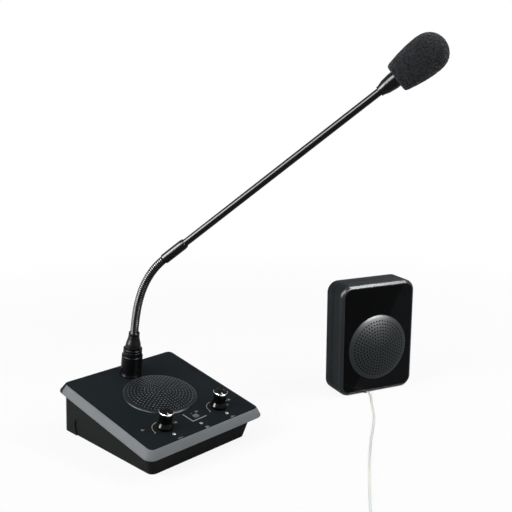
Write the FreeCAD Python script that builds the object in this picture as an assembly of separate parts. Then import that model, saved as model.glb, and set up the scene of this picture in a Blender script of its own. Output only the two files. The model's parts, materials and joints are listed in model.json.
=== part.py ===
import FreeCAD
import Part
import math
import os

# Teller window intercom: a wedge-shaped desk unit with a plug-in gooseneck microphone, and a
# window unit that stands beside it, with its speaker lead laid out on the same surface.
# Millimetres, +Z up. Sizes are written in the desk unit's own frame: X to the right, Y to the
# back, Z = 0 the table. The finished pieces are moved so that the origin is the middle of the
# bottom of the box round the object, the lead left out.

V = FreeCAD.Vector
X_AXIS = V(1, 0, 0)
Z_AXIS = V(0, 0, 1)

# ---------------------------------------------------------------- driving sizes: desk casing
desk_width = 142.0            # over the trim
desk_depth = 144.6            # over the trim, in plan
panel_tilt = 10.6             # degrees, the control panel rises to the back
trim_front_height = 21.0      # table to the trim's lower front edge
trim_height = 8.3             # square to the panel
trim_bevel = 5.1              # how far the bevel runs in
trim_corner = 7.2             # corner radius at the trim's lower edge
trim_band = 12.2              # trim width at its underside
plate_corner = 5.0
plate_thickness = 2.0
plate_lip = 0.5               # trim edge left round the plate
fit_gap = 0.1                 # between fixed pieces let into each other
case_wall = 2.4
case_foot_gap = 1.0           # case bottom above the table
case_side_inset_top = 5.9     # from the trim's edge
case_front_inset_top = 8.9
case_back_inset_top = 5.0
case_side_inset_bottom = 12.2
case_front_under = 15.6       # trim's front edge back to the bottom's front edge
case_back_over = 10.1         # trim's back edge out to the bottom's back edge
case_corner = 6.0
recess_depth = 1.2            # stepped-in lower part of the side walls
recess_back_margin = 12.3     # short of the trim's back edge
recess_top = 22.0
recess_corner = 11.0
ballast_side_margin = 29.0    # in from the trim's side
ballast_depth = 70.0
ballast_thickness = 6.0
ballast_corner = 4.0
ballast_back_margin = 7.3     # in from the trim's back edge
foot_radius = 6.5
foot_sink = 1.2
foot_side_margin = 24.0       # trim's side to the foot's middle
foot_front_margin = 28.3
foot_back_margin = 4.3
boss_radius = 4.0
boss_side_margin = 20.0       # trim's side to the screw's axis
boss_front_margin = 42.3
boss_back_margin = 20.3
boss_wall = 1.2               # the case's boss is wider than the trim's post by this
boss_lift = 0.5               # the case's boss starts above the case bottom
boss_rise = 2.0               # top of the case's boss above the floor
boss_roof_gap = 1.0           # trim's post into its tab
tab_thickness = 2.5
tab_bite = 1.0                # how far a tab runs into the band
screw_radius = 1.5
screw_head_radius = 2.9
screw_head_height = 1.6
screw_bite = 9.0
screw_sink = 0.4              # head below the outer face
screw_slot = 3.2
screw_slot_width = 0.7
thread_fit = 0.02

# ---------------------------------------------------------------- driving sizes: panel fittings
grille_button_gap = 9.8       # button's back edge to the grille
grille_collar_gap = 0.5       # grille to the collar's flare
grille_rise = 3.2
grille_edge = 1.5
grille_wall = 1.1
grille_hole = 1.0
grille_hole_pitch = 5.7
speaker_opening_margin = 6.2  # grille's edge in to the plate's opening
speaker_flange_margin = 3.2   # grille's edge in to the flange's edge
speaker_flange_thickness = 2.0
speaker_basket_depth = 11.0
speaker_back_radius = 17.0
speaker_magnet_radius = 16.0
speaker_magnet_height = 9.0
speaker_sheet = 1.0
speaker_basket_wall = 1.2
speaker_lip = 1.8             # upright part of the basket's mouth
speaker_pole_hole = 8.0
speaker_roll = 2.8            # width of the cone's roll edge
speaker_roll_rise = 0.95
speaker_cone_drop = 0.4
speaker_cone_sheet = 0.6
speaker_cone_gap = 2.0
speaker_dust_cap = 10.8       # radius
speaker_cap_rise = 2.2
magnet_plate = 1.2
magnet_plate_inset = 1.5
knob_side_margin = 38.1       # trim's side to the knob's axis
knob_front_margin = 27.26     # panel's front edge to the knobs' row
knob_skirt_radius = 7.5
knob_body_radius = 6.4
knob_ring_radius = 6.8
knob_height = 17.0
knob_gap = 0.4
knob_skirt_height = 5.0
knob_ring_height = 1.2
knob_ring_width = 0.9
knob_dish = 0.5
knob_pocket_radius = 5.9
knob_pocket_height = 4.0
knob_cap_thickness = 2.4
shaft_radius = 3.0
shaft_fit = 0.05
shaft_bottom = -7.7
shaft_end_gap = 0.3
pot_radius = 8.0
pot_height = 7.0
bushing_radius = 3.5
bushing_top = 3.6
nut_radius = 5.4
nut_height = 2.0
board_depth = 14.0            # panel face to the board's underside
board_thickness = 1.6
board_side_margin = 24.0      # in from the trim's side
board_front_margin = 12.76    # panel's front edge to the board
board_length = 24.6           # along the panel
board_corner = 2.0
standoff_radius = 3.0
standoff_side_margin = 27.5
standoff_front_margin = 33.06
board_screw_radius = 1.25
board_screw_head = 2.5
board_screw_head_height = 1.4
board_screw_length = 7.0
board_screw_slot = 3.0
board_screw_slot_width = 0.6
button_size = 5.0
button_gap = 0.15
button_x = 3.9
button_front_margin = 26.86   # panel's front edge to the button's middle
button_corner = 0.7
button_stem_radius = 1.4
button_stem_gap = 0.1
button_proud = 0.9
button_flange = 0.9
button_flange_width = 0.8
button_rest_gap = 0.2
button_travel = 0.9
switch_size = 6.0
switch_height = 4.4
led_radius = 2.5
led_proud = 0.9
led_dome = 0.7
led_fit = 0.05
led_front_margin = 14.86      # panel's front edge to the lamps' row
led_side_margin = 38.8

# ---------------------------------------------------------------- driving sizes: socket and plug
socket_back_margin = 24.06    # panel's back edge to the socket's axis
collar_radius = 10.4
collar_height = 22.0
collar_flare_radius = 11.0
collar_flare_height = 3.0
collar_edge = 0.6
collar_bore = 9.43
sleeve_radius = 9.8
sleeve_depth = 10.0
sleeve_nut_radius = 11.5
sleeve_nut_height = 3.0
insert_top = 3.0
insert_bottom = -9.0
plug_radius = 9.35
plug_wall = 1.6
plug_bottom = 5.0
plug_top = 29.3
plug_edge = 0.8
plug_disc_bottom = 6.0
plug_disc_top = 11.0
pin_radius = 1.1
pin_fit = 0.07
pin_circle = 4.4
pin_reach = -5.0
boot_base_radius = 7.75
boot_top_radius = 5.3
boot_top = 43.0
boot_spigot = 5.0
neck_collar_radius = 5.4
neck_top = 46.5
neck_edge = 0.5

# ---------------------------------------------------------------- driving sizes: gooseneck, boom
gooseneck_radius = 4.1
gooseneck_pitch = 12.3        # hinge to hinge
gooseneck_hinges = 7
gooseneck_ease = 1.8          # above 1 the bend gathers towards the boom
gooseneck_sunk = 6.0          # length held in the collar and in the ferrule
ball_radius = 3.5
socket_radius = 3.8
groove_half = 1.0             # half of the gap between two links
boom_heading = -55.0          # degrees from +X, seen from above
boom_elevation = 38.4         # degrees above level
ferrule_radius = 5.0
ferrule_end_radius = 4.5
ferrule_length = 26.5
ferrule_edge = 3.0
tube_radius = 3.55
tube_wall = 0.8
tube_length = 229.0
tube_sunk = 12.0
mic_neck_radius = 4.7
mic_radius = 7.5
mic_cone_length = 16.0
mic_length = 45.0
mic_wall = 1.0
capsule_radius = 6.0
capsule_height = 7.0
capsule_recess = 1.2
foam_gap = 1.5                # end of the cone to the foam
foam_length = 51.5
foam_base_radius = 11.6
foam_base_round = 2.0
foam_shoulder_radius = 14.8
foam_shoulder = 7.0
foam_radius = 17.75
foam_belly = 0.7              # swell of the side above a straight slope

# ---------------------------------------------------------------- driving sizes: rear fittings
rear_row = -2.0               # from the middle of the back wall, down the wall
audio_jack_margins = (25.0, 41.0)     # in from the left side
supply_jack_margin = 47.0     # in from the right side
jack_bores = (1.8, 1.8, 3.0)
jack_flanges = (4.2, 4.2, 5.6)
jack_flange_height = 1.4
jack_bodies = (3.4, 3.4, 4.8)
jack_depth = 12.0
jack_bore_depth = 10.0
rocker_side_margin = 25.0     # in from the right side
rocker_frame_width = 15.0
rocker_frame_height = 21.0
rocker_flange = 1.6
rocker_body_width = 12.6
rocker_body_height = 17.4
rocker_body_depth = 11.0
rocker_width = 8.4
rocker_radius = 6.4
rocker_gap = 0.3
rocker_pivot_depth = 2.2
rocker_rise = 3.6
rocker_waist = 2.2
rocker_tilt = 9.0             # degrees to each side of the middle
rocker_pin_radius = 1.0
rocker_pin_length = 1.4
rocker_pin_fit = 0.06

# ---------------------------------------------------------------- driving sizes: window unit
unit_x = 240.7
unit_y = -80.3
unit_turn = -20.8             # degrees about Z
unit_width = 94.0
unit_height = 125.4
unit_depth = 34.4
unit_corner = 12.8
unit_edge = 4.0               # rounding of the front edge
unit_back_edge = 4.0
unit_wall = 2.2
bezel_depth = 24.0
bezel_front = 3.0
window_panel_thickness = 1.2
window_grille_radius = 37.5
window_grille_z = 52.6
window_grille_rise = 4.6
window_grille_gap = 0.3
window_speaker_opening = 33.0
window_speaker_flange = 36.0
window_speaker_depth = 12.0
window_speaker_back_radius = 16.0
window_magnet_radius = 15.0
window_magnet_height = 8.0
window_mic_top_margin = 8.6   # below the unit's top
window_mic_hole = 0.8
window_mic_radius = 3.0
window_mic_depth = 5.0
window_mic_cup = 1.2
post_radius = 3.5
post_inset = 10.5
keyhole_radius = 4.0
keyhole_slot = 2.1
keyhole_rise = 8.0
keyhole_spread = 60.0
pad_width = 56.0
pad_height = 13.0
pad_thickness = 1.0
pad_spread = 92.0
grommet_x = -11.0
grommet_width = 6.4
grommet_height = 4.6
grommet_front = 1.6
grommet_back = 9.0

# ---------------------------------------------------------------- driving sizes: speaker lead
cord_radius = 1.5
cord_rest = 1.6               # centre of the lead above the table
cord_corner_share = 0.45      # of the shorter run, taken by each bend
cord_exit_run = 8.0           # straight out of the grommet
# Turning points on the table after the straight way out of the grommet.
cord_route = [
    (214.5, -93.0),
    (190.5, -113.6),
    (176.0, -125.2),
    (151.8, -140.3),
    (123.0, -159.2),
    (90.2, -182.3),
    (58.0, -206.4),
    (27.0, -230.3),
    (6.0, -247.6),
]
coil_last_run = 17.0          # from the last turning point to the coil's own stretch
coil_lead_in = 14.0           # straight stretch before the first turn
coil_heading = -138.0         # degrees, the way the lead runs into the coil
coil_turn_radius = 18.0       # middle of the turns
coil_slack = 0.05             # the wound turns stand off by this all round
coil_layers = 4
coil_turns_per_layer = 4
plug_seat_radius = 19.0
plug_seat_angle = 250.0       # degrees, where the lead's plug lies on the coil
jack_plug_body_radius = 4.0
jack_plug_body_length = 17.0
jack_plug_relief_length = 8.0
jack_plug_relief_radius = 2.4
jack_plug_tip_radius = 1.75
jack_plug_tip_length = 14.0

# ---------------------------------------------------------------- places worked out
panel_length = desk_depth / math.cos(math.radians(panel_tilt))
panel_middle_height = (trim_front_height + trim_height / math.cos(math.radians(panel_tilt))
                       + 0.5 * desk_depth * math.tan(math.radians(panel_tilt)))
panel_place = FreeCAD.Placement(V(0, 0, panel_middle_height), FreeCAD.Rotation(X_AXIS, panel_tilt))
panel_normal = panel_place.Rotation.multVec(Z_AXIS)
half_width = 0.5 * desk_width
half_depth = 0.5 * desk_depth
half_panel = 0.5 * panel_length
case_bottom_front = case_front_under - half_depth
case_bottom_back = half_depth + case_back_over
recess_back = half_depth - recess_back_margin
ballast_half_width = half_width - ballast_side_margin
ballast_back = half_depth - ballast_back_margin
foot_xs = (foot_side_margin - half_width, half_width - foot_side_margin)
foot_ys = (foot_front_margin - half_depth, half_depth - foot_back_margin)
boss_xs = (boss_side_margin - half_width, half_width - boss_side_margin)
boss_ys = (boss_front_margin - half_depth, half_depth - boss_back_margin)
boss_top = case_foot_gap + case_wall + boss_rise
floor_top = case_foot_gap + case_wall
plate_half_width = 0.5 * desk_width - trim_bevel - plate_lip - fit_gap
plate_half_length = 0.5 * panel_length - trim_bevel - plate_lip - fit_gap
board_top = -board_depth + board_thickness
board_half_width = half_width - board_side_margin
board_front = board_front_margin - half_panel
board_back = board_front + board_length
standoff_spread = half_width - standoff_side_margin
standoff_row = standoff_front_margin - half_panel
knob_spread = half_width - knob_side_margin
knob_row = knob_front_margin - half_panel
button_row = button_front_margin - half_panel
led_spread = half_width - led_side_margin
led_row = led_front_margin - half_panel
socket_row = half_panel - socket_back_margin
grille_front = button_row + 0.5 * button_size + grille_button_gap
grille_back = socket_row - collar_flare_radius - grille_collar_gap
grille_row = 0.5 * (grille_front + grille_back)
grille_radius = 0.5 * (grille_back - grille_front)
speaker_opening = grille_radius - speaker_opening_margin
speaker_flange = grille_radius - speaker_flange_margin
jack_xs = (audio_jack_margins[0] - half_width, audio_jack_margins[1] - half_width, half_width - supply_jack_margin)
rocker_x = half_width - rocker_side_margin
window_mic_z = unit_height - window_mic_top_margin
coil_half_band = 0.5 * (coil_turns_per_layer - 1) * 2 * cord_radius
coil_outer_turn = coil_turn_radius + coil_half_band
coil_inner_turn = coil_turn_radius - coil_half_band
window_place = FreeCAD.Placement(V(unit_x, unit_y, 0), FreeCAD.Rotation(Z_AXIS, unit_turn))


# ---------------------------------------------------------------- shape helpers
def rounded_wire(x_low, x_high, y_low, y_high, radius, level=0.0):
    """A closed rounded rectangle in a level plane."""
    s = radius * (1 - math.sqrt(0.5))
    corners = [
        (V(x_high, y_high - radius, level), V(x_high - s, y_high - s, level), V(x_high - radius, y_high, level)),
        (V(x_low + radius, y_high, level), V(x_low + s, y_high - s, level), V(x_low, y_high - radius, level)),
        (V(x_low, y_low + radius, level), V(x_low + s, y_low + s, level), V(x_low + radius, y_low, level)),
        (V(x_high - radius, y_low, level), V(x_high - s, y_low + s, level), V(x_high, y_low + radius, level)),
    ]
    edges = []
    for index, (start, middle, end) in enumerate(corners):
        edges.append(Part.Arc(start, middle, end).toShape())
        edges.append(Part.LineSegment(end, corners[(index + 1) % 4][0]).toShape())
    return Part.Wire(edges)


def rounded_block(x_low, x_high, y_low, y_high, radius, z_low, z_high):
    """An upright block with rounded corners."""
    face = Part.Face(rounded_wire(x_low, x_high, y_low, y_high, radius, z_low))
    return face.extrude(V(0, 0, z_high - z_low))


def turned(start, *moves):
    """A solid turned about Z. A move is a point (radius, height), or a pair of points for an arc."""
    edges = []
    here = V(start[0], 0, start[1])
    for move in moves + (start,):
        if isinstance(move[0], tuple):
            middle = V(move[0][0], 0, move[0][1])
            there = V(move[1][0], 0, move[1][1])
            edges.append(Part.Arc(here, middle, there).toShape())
        else:
            there = V(move[0], 0, move[1])
            edges.append(Part.LineSegment(here, there).toShape())
        here = there
    return Part.Face(Part.Wire(edges)).revolve(V(0, 0, 0), Z_AXIS, 360)


def cap_height(radius, rise, reach):
    """Height of a spherical cap over its rim, at a distance from its middle."""
    sphere = (radius ** 2 + rise ** 2) / (2 * rise)
    return math.sqrt(sphere ** 2 - reach ** 2) - (sphere - rise)


def cap_in(radius, low, rise):
    """The move of a turned outline from a cap's rim to its top."""
    half = 0.5 * radius
    return ((half, low + cap_height(radius, rise, half)), (0, low + rise))


def cap_out(radius, low, rise):
    """The move of a turned outline from a cap's top to its rim."""
    return (cap_in(radius, low, rise)[0], (radius, low))


def upright(radius, z_low, z_high, x=0.0, y=0.0):
    """A cylinder along Z."""
    return Part.makeCylinder(radius, z_high - z_low, V(x, y, z_low))


def ring(outer, inner, z_low, z_high, x=0.0, y=0.0):
    """A cylinder along Z with a hole."""
    return upright(outer, z_low, z_high, x, y).cut(upright(inner, z_low - 1, z_high + 1, x, y))


def shifted(shape, x, y, z=0.0):
    """A copy moved by x, y, z."""
    moved = shape.copy()
    moved.translate(V(x, y, z))
    return moved


def placed(shape, placement):
    """A copy put where a placement says."""
    moved = shape.copy()
    moved.Placement = placement.multiply(moved.Placement)
    return moved


def at_panel(shape, x=0.0, row=0.0):
    """A shape drawn about the panel's own Z, put at (x, row) on the panel."""
    return placed(shifted(shape, x, row), panel_place)


def along(start, direction):
    """The placement that stands Z along a direction at a start point."""
    return FreeCAD.Placement(start, FreeCAD.Rotation(Z_AXIS, direction))


def grille_holes(outermost, pitch, radius, z_low, z_high):
    """Rings of holes round a middle one, six more in each ring."""
    holes = [upright(radius, z_low, z_high)]
    for ring_number in range(1, int(outermost / pitch) + 1):
        count = 6 * ring_number
        for step in range(count):
            turn = 2 * math.pi * (step + 0.5 * (ring_number % 2)) / count
            reach = ring_number * pitch
            holes.append(upright(radius, z_low, z_high, reach * math.cos(turn), reach * math.sin(turn)))
    return Part.makeCompound(holes)


def domed_grille(radius, edge, rise, wall):
    """A pierced dome with a low upright edge, standing on Z = 0."""
    inner = radius - 2 * wall
    inner_low = edge + cap_height(radius, rise, inner) - wall
    shell = turned((0, edge + rise), cap_out(radius, edge, rise), (radius, 0), (inner, 0), (inner, inner_low),
                   cap_in(inner, inner_low, edge + rise - wall - inner_low))
    holes = grille_holes(radius - 2 * wall - grille_hole_pitch * 0.5, grille_hole_pitch, grille_hole,
                         0, edge + rise + 1)
    return shell.cut(holes)


# ---------------------------------------------------------------- desk casing
def case_loft(side_extra, end_extra, bottom_height, top_drop):
    """The tapering body: level outline at the bottom, outline square to the panel at the top."""
    half_bottom = 0.5 * desk_width - case_side_inset_bottom - side_extra
    half_top = 0.5 * desk_width - case_side_inset_top - side_extra
    corner = case_corner - min(end_extra, 0.6 * case_corner)
    bottom = rounded_wire(-half_bottom, half_bottom, case_bottom_front + end_extra,
                          case_bottom_back - end_extra, corner, bottom_height)
    top = rounded_wire(-half_top, half_top, -0.5 * panel_length + case_front_inset_top + end_extra,
                       0.5 * panel_length - case_back_inset_top - end_extra, corner, -trim_height + top_drop)
    top.Placement = panel_place
    return Part.makeLoft([bottom, top], True, True)


def recess_prism():
    """The low zone in front of the side walls' step, right across the case."""
    low = case_foot_gap - 1
    front = case_bottom_front - desk_depth
    s = recess_corner * (1 - math.sqrt(0.5))
    points = [V(0, front, low), V(0, recess_back, low), V(0, recess_back, recess_top - recess_corner),
              V(0, recess_back - recess_corner, recess_top), V(0, front, recess_top)]
    edges = [
        Part.LineSegment(points[0], points[1]).toShape(),
        Part.LineSegment(points[1], points[2]).toShape(),
        Part.Arc(points[2], V(0, recess_back - s, recess_top - s), points[3]).toShape(),
        Part.LineSegment(points[3], points[4]).toShape(),
        Part.LineSegment(points[4], points[0]).toShape(),
    ]
    prism = Part.Face(Part.Wire(edges)).extrude(V(2 * desk_width, 0, 0))
    return shifted(prism, -desk_width, 0)


def boss_places():
    """The four screw places: x, y."""
    return [(x, y) for x in boss_xs for y in boss_ys]


def foot_places():
    """The four feet: x, y."""
    return [(x, y) for x in foot_xs for y in foot_ys]


def rear_frame():
    """Middle of the back wall's outer face: X across, Y down the wall, Z outwards."""
    top = panel_place.multVec(V(0, 0.5 * panel_length - case_back_inset_top, -trim_height))
    bottom = V(0, case_bottom_back, case_foot_gap)
    outward = V(0, top.z - bottom.z, bottom.y - top.y).normalize()
    angle = -math.degrees(math.atan2(outward.y, outward.z))
    return FreeCAD.Placement((top + bottom) * 0.5, FreeCAD.Rotation(X_AXIS, angle))


def lower_case():
    """The moulded tub: tapering walls with stepped-in sides, floor, board standoffs, wall cut-outs."""
    outer = case_loft(0, 0, case_foot_gap, 0)
    prism = recess_prism()
    outer = outer.cut(prism).fuse(case_loft(recess_depth, 0, case_foot_gap, 0).common(prism)).removeSplitter()
    # The hollow's own outlines lie beyond both ends of the part of it that is used.
    tub = outer.cut(case_loft(case_wall + recess_depth, case_wall, floor_top, 0.4))
    for x in (-standoff_spread, standoff_spread):
        post = at_panel(upright(standoff_radius, -2 * board_depth - desk_depth, -board_depth), x, standoff_row)
        hole_low = board_top - board_screw_length - 0.5
        hole = at_panel(upright(board_screw_radius + thread_fit, hole_low, 0), x, standoff_row)
        tub = tub.fuse(post.common(outer).cut(hole))
    for x, y in foot_places():
        tub = tub.cut(upright(foot_radius + fit_gap, case_foot_gap - 1, case_foot_gap + foot_sink, x, y))
    for x, y in boss_places():
        tub = tub.fuse(upright(boss_radius + boss_wall, case_foot_gap + boss_lift, boss_top, x, y))
        tub = tub.cut(upright(screw_radius + fit_gap, 0, boss_top + 1, x, y))
        tub = tub.cut(upright(screw_head_radius + fit_gap, 0, case_foot_gap + screw_sink + screw_head_height, x, y))
    rear = rear_frame()
    for x, body in zip(jack_xs, jack_bodies):
        tub = tub.cut(placed(upright(body + fit_gap, -2 * jack_depth, 5, x, rear_row), rear))
    half_w = 0.5 * rocker_body_width + fit_gap
    half_h = 0.5 * rocker_body_height + fit_gap
    window = rounded_block(rocker_x - half_w, rocker_x + half_w, rear_row - half_h, rear_row + half_h, 1,
                           -2 * jack_depth, 5)
    return tub.cut(placed(window, rear))


def trim_frame():
    """The bevelled frame round the panel, with the ledge the plate lies on and four screw bosses."""
    low = rounded_wire(-half_width, half_width, -half_panel, half_panel, trim_corner, -trim_height)
    high = rounded_wire(trim_bevel - half_width, half_width - trim_bevel, trim_bevel - half_panel,
                        half_panel - trim_bevel, plate_corner, 0)
    body = Part.makeLoft([low, high], True, True)
    seat_w = plate_half_width + fit_gap
    seat_l = plate_half_length + fit_gap
    body = body.cut(rounded_block(-seat_w, seat_w, -seat_l, seat_l, plate_corner - plate_lip, -plate_thickness, 5))
    open_w = half_width - trim_band
    open_l = half_panel - trim_band
    body = body.cut(rounded_block(-open_w, open_w, -open_l, open_l, 3, -trim_height - 5, 5))
    frame = placed(body, panel_place)
    for x, y in boss_places():
        side = math.copysign(1, x)
        row = y / math.cos(math.radians(panel_tilt))
        inner = x - side * boss_radius
        outer = side * (open_w + tab_bite)
        tab = rounded_block(min(inner, outer), max(inner, outer), row - boss_radius, row + boss_radius, 1,
                            -plate_thickness - tab_thickness, -plate_thickness)
        tab = placed(tab, panel_place)
        roof = panel_place.multVec(V(0, row, -plate_thickness)).z
        post = upright(boss_radius, boss_top, roof - boss_roof_gap, x, y)
        frame = frame.fuse(tab).fuse(post)
    for x, y in boss_places():
        frame = frame.cut(upright(screw_radius + thread_fit, 0, boss_top + screw_bite + 1, x, y))
    return frame.removeSplitter()


def top_plate():
    """The dark control plate with its holes."""
    plate = rounded_block(-plate_half_width, plate_half_width, -plate_half_length, plate_half_length,
                          plate_corner - plate_lip, -plate_thickness, 0)
    plate = plate.cut(upright(speaker_opening, -5, 5, 0, grille_row))
    plate = plate.cut(upright(sleeve_radius + fit_gap, -5, 5, 0, socket_row))
    for x in (-knob_spread, knob_spread):
        plate = plate.cut(upright(bushing_radius + fit_gap, -5, 5, x, knob_row))
    for x in (-led_spread, 0, led_spread):
        plate = plate.cut(upright(led_radius + led_fit, -5, 5, x, led_row))
    half = 0.5 * button_size + button_gap
    plate = plate.cut(rounded_block(button_x - half, button_x + half, button_row - half, button_row + half,
                                    button_corner + button_gap, -5, 5))
    return placed(plate, panel_place)


def ballast_plate():
    """Steel weight on the case floor."""
    return rounded_block(-ballast_half_width, ballast_half_width, ballast_back - ballast_depth, ballast_back,
                         ballast_corner, floor_top, floor_top + ballast_thickness)


def rubber_feet():
    """Four feet let into the case bottom."""
    return Part.makeCompound([upright(foot_radius, 0, case_foot_gap + foot_sink, x, y) for x, y in foot_places()])


def case_screws():
    """Four screws up through the case floor into the trim's bosses."""
    screws = []
    head_low = case_foot_gap + screw_sink
    long = screw_slot
    thin = screw_slot_width
    for x, y in boss_places():
        head = upright(screw_head_radius, head_low, head_low + screw_head_height, x, y)
        shank = upright(screw_radius, head_low, boss_top + screw_bite, x, y)
        slot = Part.makeBox(long, thin, thin, V(x - 0.5 * long, y - 0.5 * thin, head_low))
        cross = Part.makeBox(thin, long, thin, V(x - 0.5 * thin, y - 0.5 * long, head_low))
        screws.append(head.fuse(shank).cut(slot).cut(cross).removeSplitter())
    return Part.makeCompound(screws)


# ---------------------------------------------------------------- speakers, drawn face up on Z = 0
def speaker_frame(flange, opening, depth, back, sheet_top):
    """Flange and conical basket, hanging down from sheet_top."""
    low = sheet_top - depth
    mouth = opening - speaker_basket_wall
    return turned((flange, sheet_top), (flange, sheet_top - speaker_flange_thickness),
                  (opening, sheet_top - speaker_flange_thickness), (back, low), (speaker_pole_hole, low),
                  (speaker_pole_hole, low + speaker_sheet), (back - speaker_sheet, low + speaker_sheet),
                  (mouth, sheet_top - speaker_lip), (mouth, sheet_top))


def speaker_cone(opening, depth, sheet_top):
    """Roll edge, paper cone and dust cap, held in the basket's upright lip."""
    rim = opening - speaker_basket_wall
    roll_in = rim - speaker_roll
    roll_mid = rim - 0.5 * speaker_roll
    mouth = speaker_dust_cap
    top = sheet_top - speaker_cone_drop
    deep = sheet_top - depth + speaker_sheet + speaker_cone_gap
    sheet = speaker_cone_sheet
    return turned((rim, top), ((roll_mid, top + speaker_roll_rise), (roll_in, top)), (mouth, deep + sheet),
                  cap_in(mouth, deep + sheet, speaker_cap_rise), (0, deep + speaker_cap_rise),
                  cap_out(mouth, deep, speaker_cap_rise), (roll_in, top - sheet),
                  ((roll_mid, top + speaker_roll_rise - sheet), (rim, top - sheet)))


def speaker_magnet(radius, height, sheet_top, depth):
    """Back plate and magnet under the basket."""
    low = sheet_top - depth
    plate = radius - magnet_plate_inset
    return turned((0, low), (plate, low), (plate, low - magnet_plate), (radius, low - magnet_plate),
                  (radius, low - height), (0, low - height))


# ---------------------------------------------------------------- knobs, button, lamps
def knob():
    """A waisted knob with a flared skirt, a pocket over the nut and a bore for the shaft."""
    top = knob_gap + knob_height
    ring_low = top - knob_ring_height
    waist = knob_gap + knob_skirt_height
    flare = 0.5 * (knob_skirt_radius + knob_body_radius) - 0.25
    body = turned((0, top - knob_dish), (knob_ring_radius - knob_ring_width, top - knob_dish),
                  (knob_ring_radius - knob_ring_width, ring_low), (knob_body_radius, ring_low),
                  (knob_body_radius, waist),
                  ((flare, knob_gap + 0.45 * knob_skirt_height), (knob_skirt_radius, knob_gap + 1.2)),
                  (knob_skirt_radius, knob_gap), (knob_pocket_radius, knob_gap),
                  (knob_pocket_radius, knob_gap + knob_pocket_height), (shaft_radius, knob_gap + knob_pocket_height),
                  (shaft_radius, top - knob_cap_thickness), (0, top - knob_cap_thickness))
    return body


def knob_ring():
    """The bright ring let in round the knob's top edge."""
    top = knob_gap + knob_height
    low = top - knob_ring_height
    return turned((knob_ring_radius - knob_ring_width, low), (knob_body_radius, low),
                  (knob_ring_radius, top - 0.5), (knob_ring_radius - 0.25, top),
                  (knob_ring_radius - knob_ring_width, top))


def knob_shaft():
    """The control's turning shaft, from inside its body to the knob's cap."""
    return upright(shaft_radius, shaft_bottom, knob_gap + knob_height - knob_cap_thickness)


def volume_pot():
    """One rotary control: round body on the board, threaded bushing through the plate."""
    body = upright(pot_radius, board_top, board_top + pot_height)
    bushing = upright(bushing_radius, board_top, bushing_top)
    bore = upright(shaft_radius + shaft_fit, shaft_bottom - shaft_end_gap, bushing_top + 1)
    return body.fuse(bushing).removeSplitter().cut(bore)


def pot_nut():
    """Hexagon nut on the bushing."""
    corners = [V(nut_radius * math.cos(math.radians(60 * i)), nut_radius * math.sin(math.radians(60 * i)), 0)
               for i in range(7)]
    body = Part.Face(Part.makePolygon(corners)).extrude(V(0, 0, nut_height))
    return body.cut(upright(bushing_radius + thread_fit, -1, nut_height + 1))


def mode_button():
    """Square push button: cap through the plate, flange under it, stem to the switch."""
    half = 0.5 * button_size
    cap = rounded_block(-half, half, -half, half, button_corner, -plate_thickness - button_rest_gap, button_proud)
    flange_half = half + button_flange_width
    flange_top = -plate_thickness - button_rest_gap
    flange = rounded_block(-flange_half, flange_half, -flange_half, flange_half, button_corner,
                           flange_top - button_flange, flange_top)
    stem_low = board_top + switch_height + button_travel + button_stem_gap
    stem = upright(button_stem_radius, stem_low, flange_top)
    return cap.fuse(flange).fuse(stem).removeSplitter()


def button_switch():
    """The key switch on the board under the button."""
    half = 0.5 * switch_size
    return rounded_block(-half, half, -half, half, 0.5, board_top, board_top + switch_height)


def led_lenses():
    """Three indicator lamps with domed heads, standing on the board."""
    rim = led_proud - led_dome
    lamp = turned((0, board_top), (led_radius, board_top), (led_radius, rim), cap_in(led_radius, rim, led_dome))
    return Part.makeCompound([shifted(lamp, x, led_row) for x in (-led_spread, 0, led_spread)])


def circuit_board():
    """The main board, parallel to the panel."""
    board = rounded_block(-board_half_width, board_half_width, board_front, board_back, board_corner,
                          -board_depth, board_top)
    for x in (-standoff_spread, standoff_spread):
        board = board.cut(upright(board_screw_radius + fit_gap, -2 * board_depth, 0, x, standoff_row))
    return board


def board_screws():
    """Two screws that hold the board on its standoffs."""
    head_high = board_top + board_screw_head_height
    long = board_screw_slot
    thin = board_screw_slot_width
    screws = []
    for x in (-standoff_spread, standoff_spread):
        head = upright(board_screw_head, board_top, head_high)
        shank = upright(board_screw_radius, board_top - board_screw_length, board_top)
        slot = Part.makeBox(long, thin, thin, V(-0.5 * long, -0.5 * thin, head_high - thin))
        screws.append(shifted(head.fuse(shank).cut(slot).removeSplitter(), x, standoff_row))
    return Part.makeCompound(screws)


# ---------------------------------------------------------------- microphone socket and plug
def socket_collar():
    """The black collar on the plate: flared foot, long bore, threaded sleeve below."""
    flare_in = collar_radius + 0.35 * (collar_flare_radius - collar_radius)
    return turned((collar_bore, collar_height), (collar_radius - collar_edge, collar_height),
                  (collar_radius, collar_height - collar_edge), (collar_radius, collar_flare_height),
                  ((flare_in, 0.4 * collar_flare_height), (collar_flare_radius, 0.6)),
                  (collar_flare_radius, 0), (sleeve_radius, 0), (sleeve_radius, -sleeve_depth),
                  (collar_bore, -sleeve_depth))


def pin_places():
    """The three contacts: x, y about the plug's axis."""
    turns = [math.radians(90 + 120 * i) for i in range(3)]
    return [(pin_circle * math.cos(t), pin_circle * math.sin(t)) for t in turns]


def socket_insert():
    """The insulating block with the three contact holes."""
    block = upright(collar_bore, insert_bottom, insert_top)
    for x, y in pin_places():
        block = block.cut(upright(pin_radius + pin_fit, pin_reach - 0.5, insert_top + 1, x, y))
    return block


def socket_nut():
    """Ring nut that clamps the collar to the plate."""
    return ring(sleeve_nut_radius, sleeve_radius, -plate_thickness - sleeve_nut_height, -plate_thickness)


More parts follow.
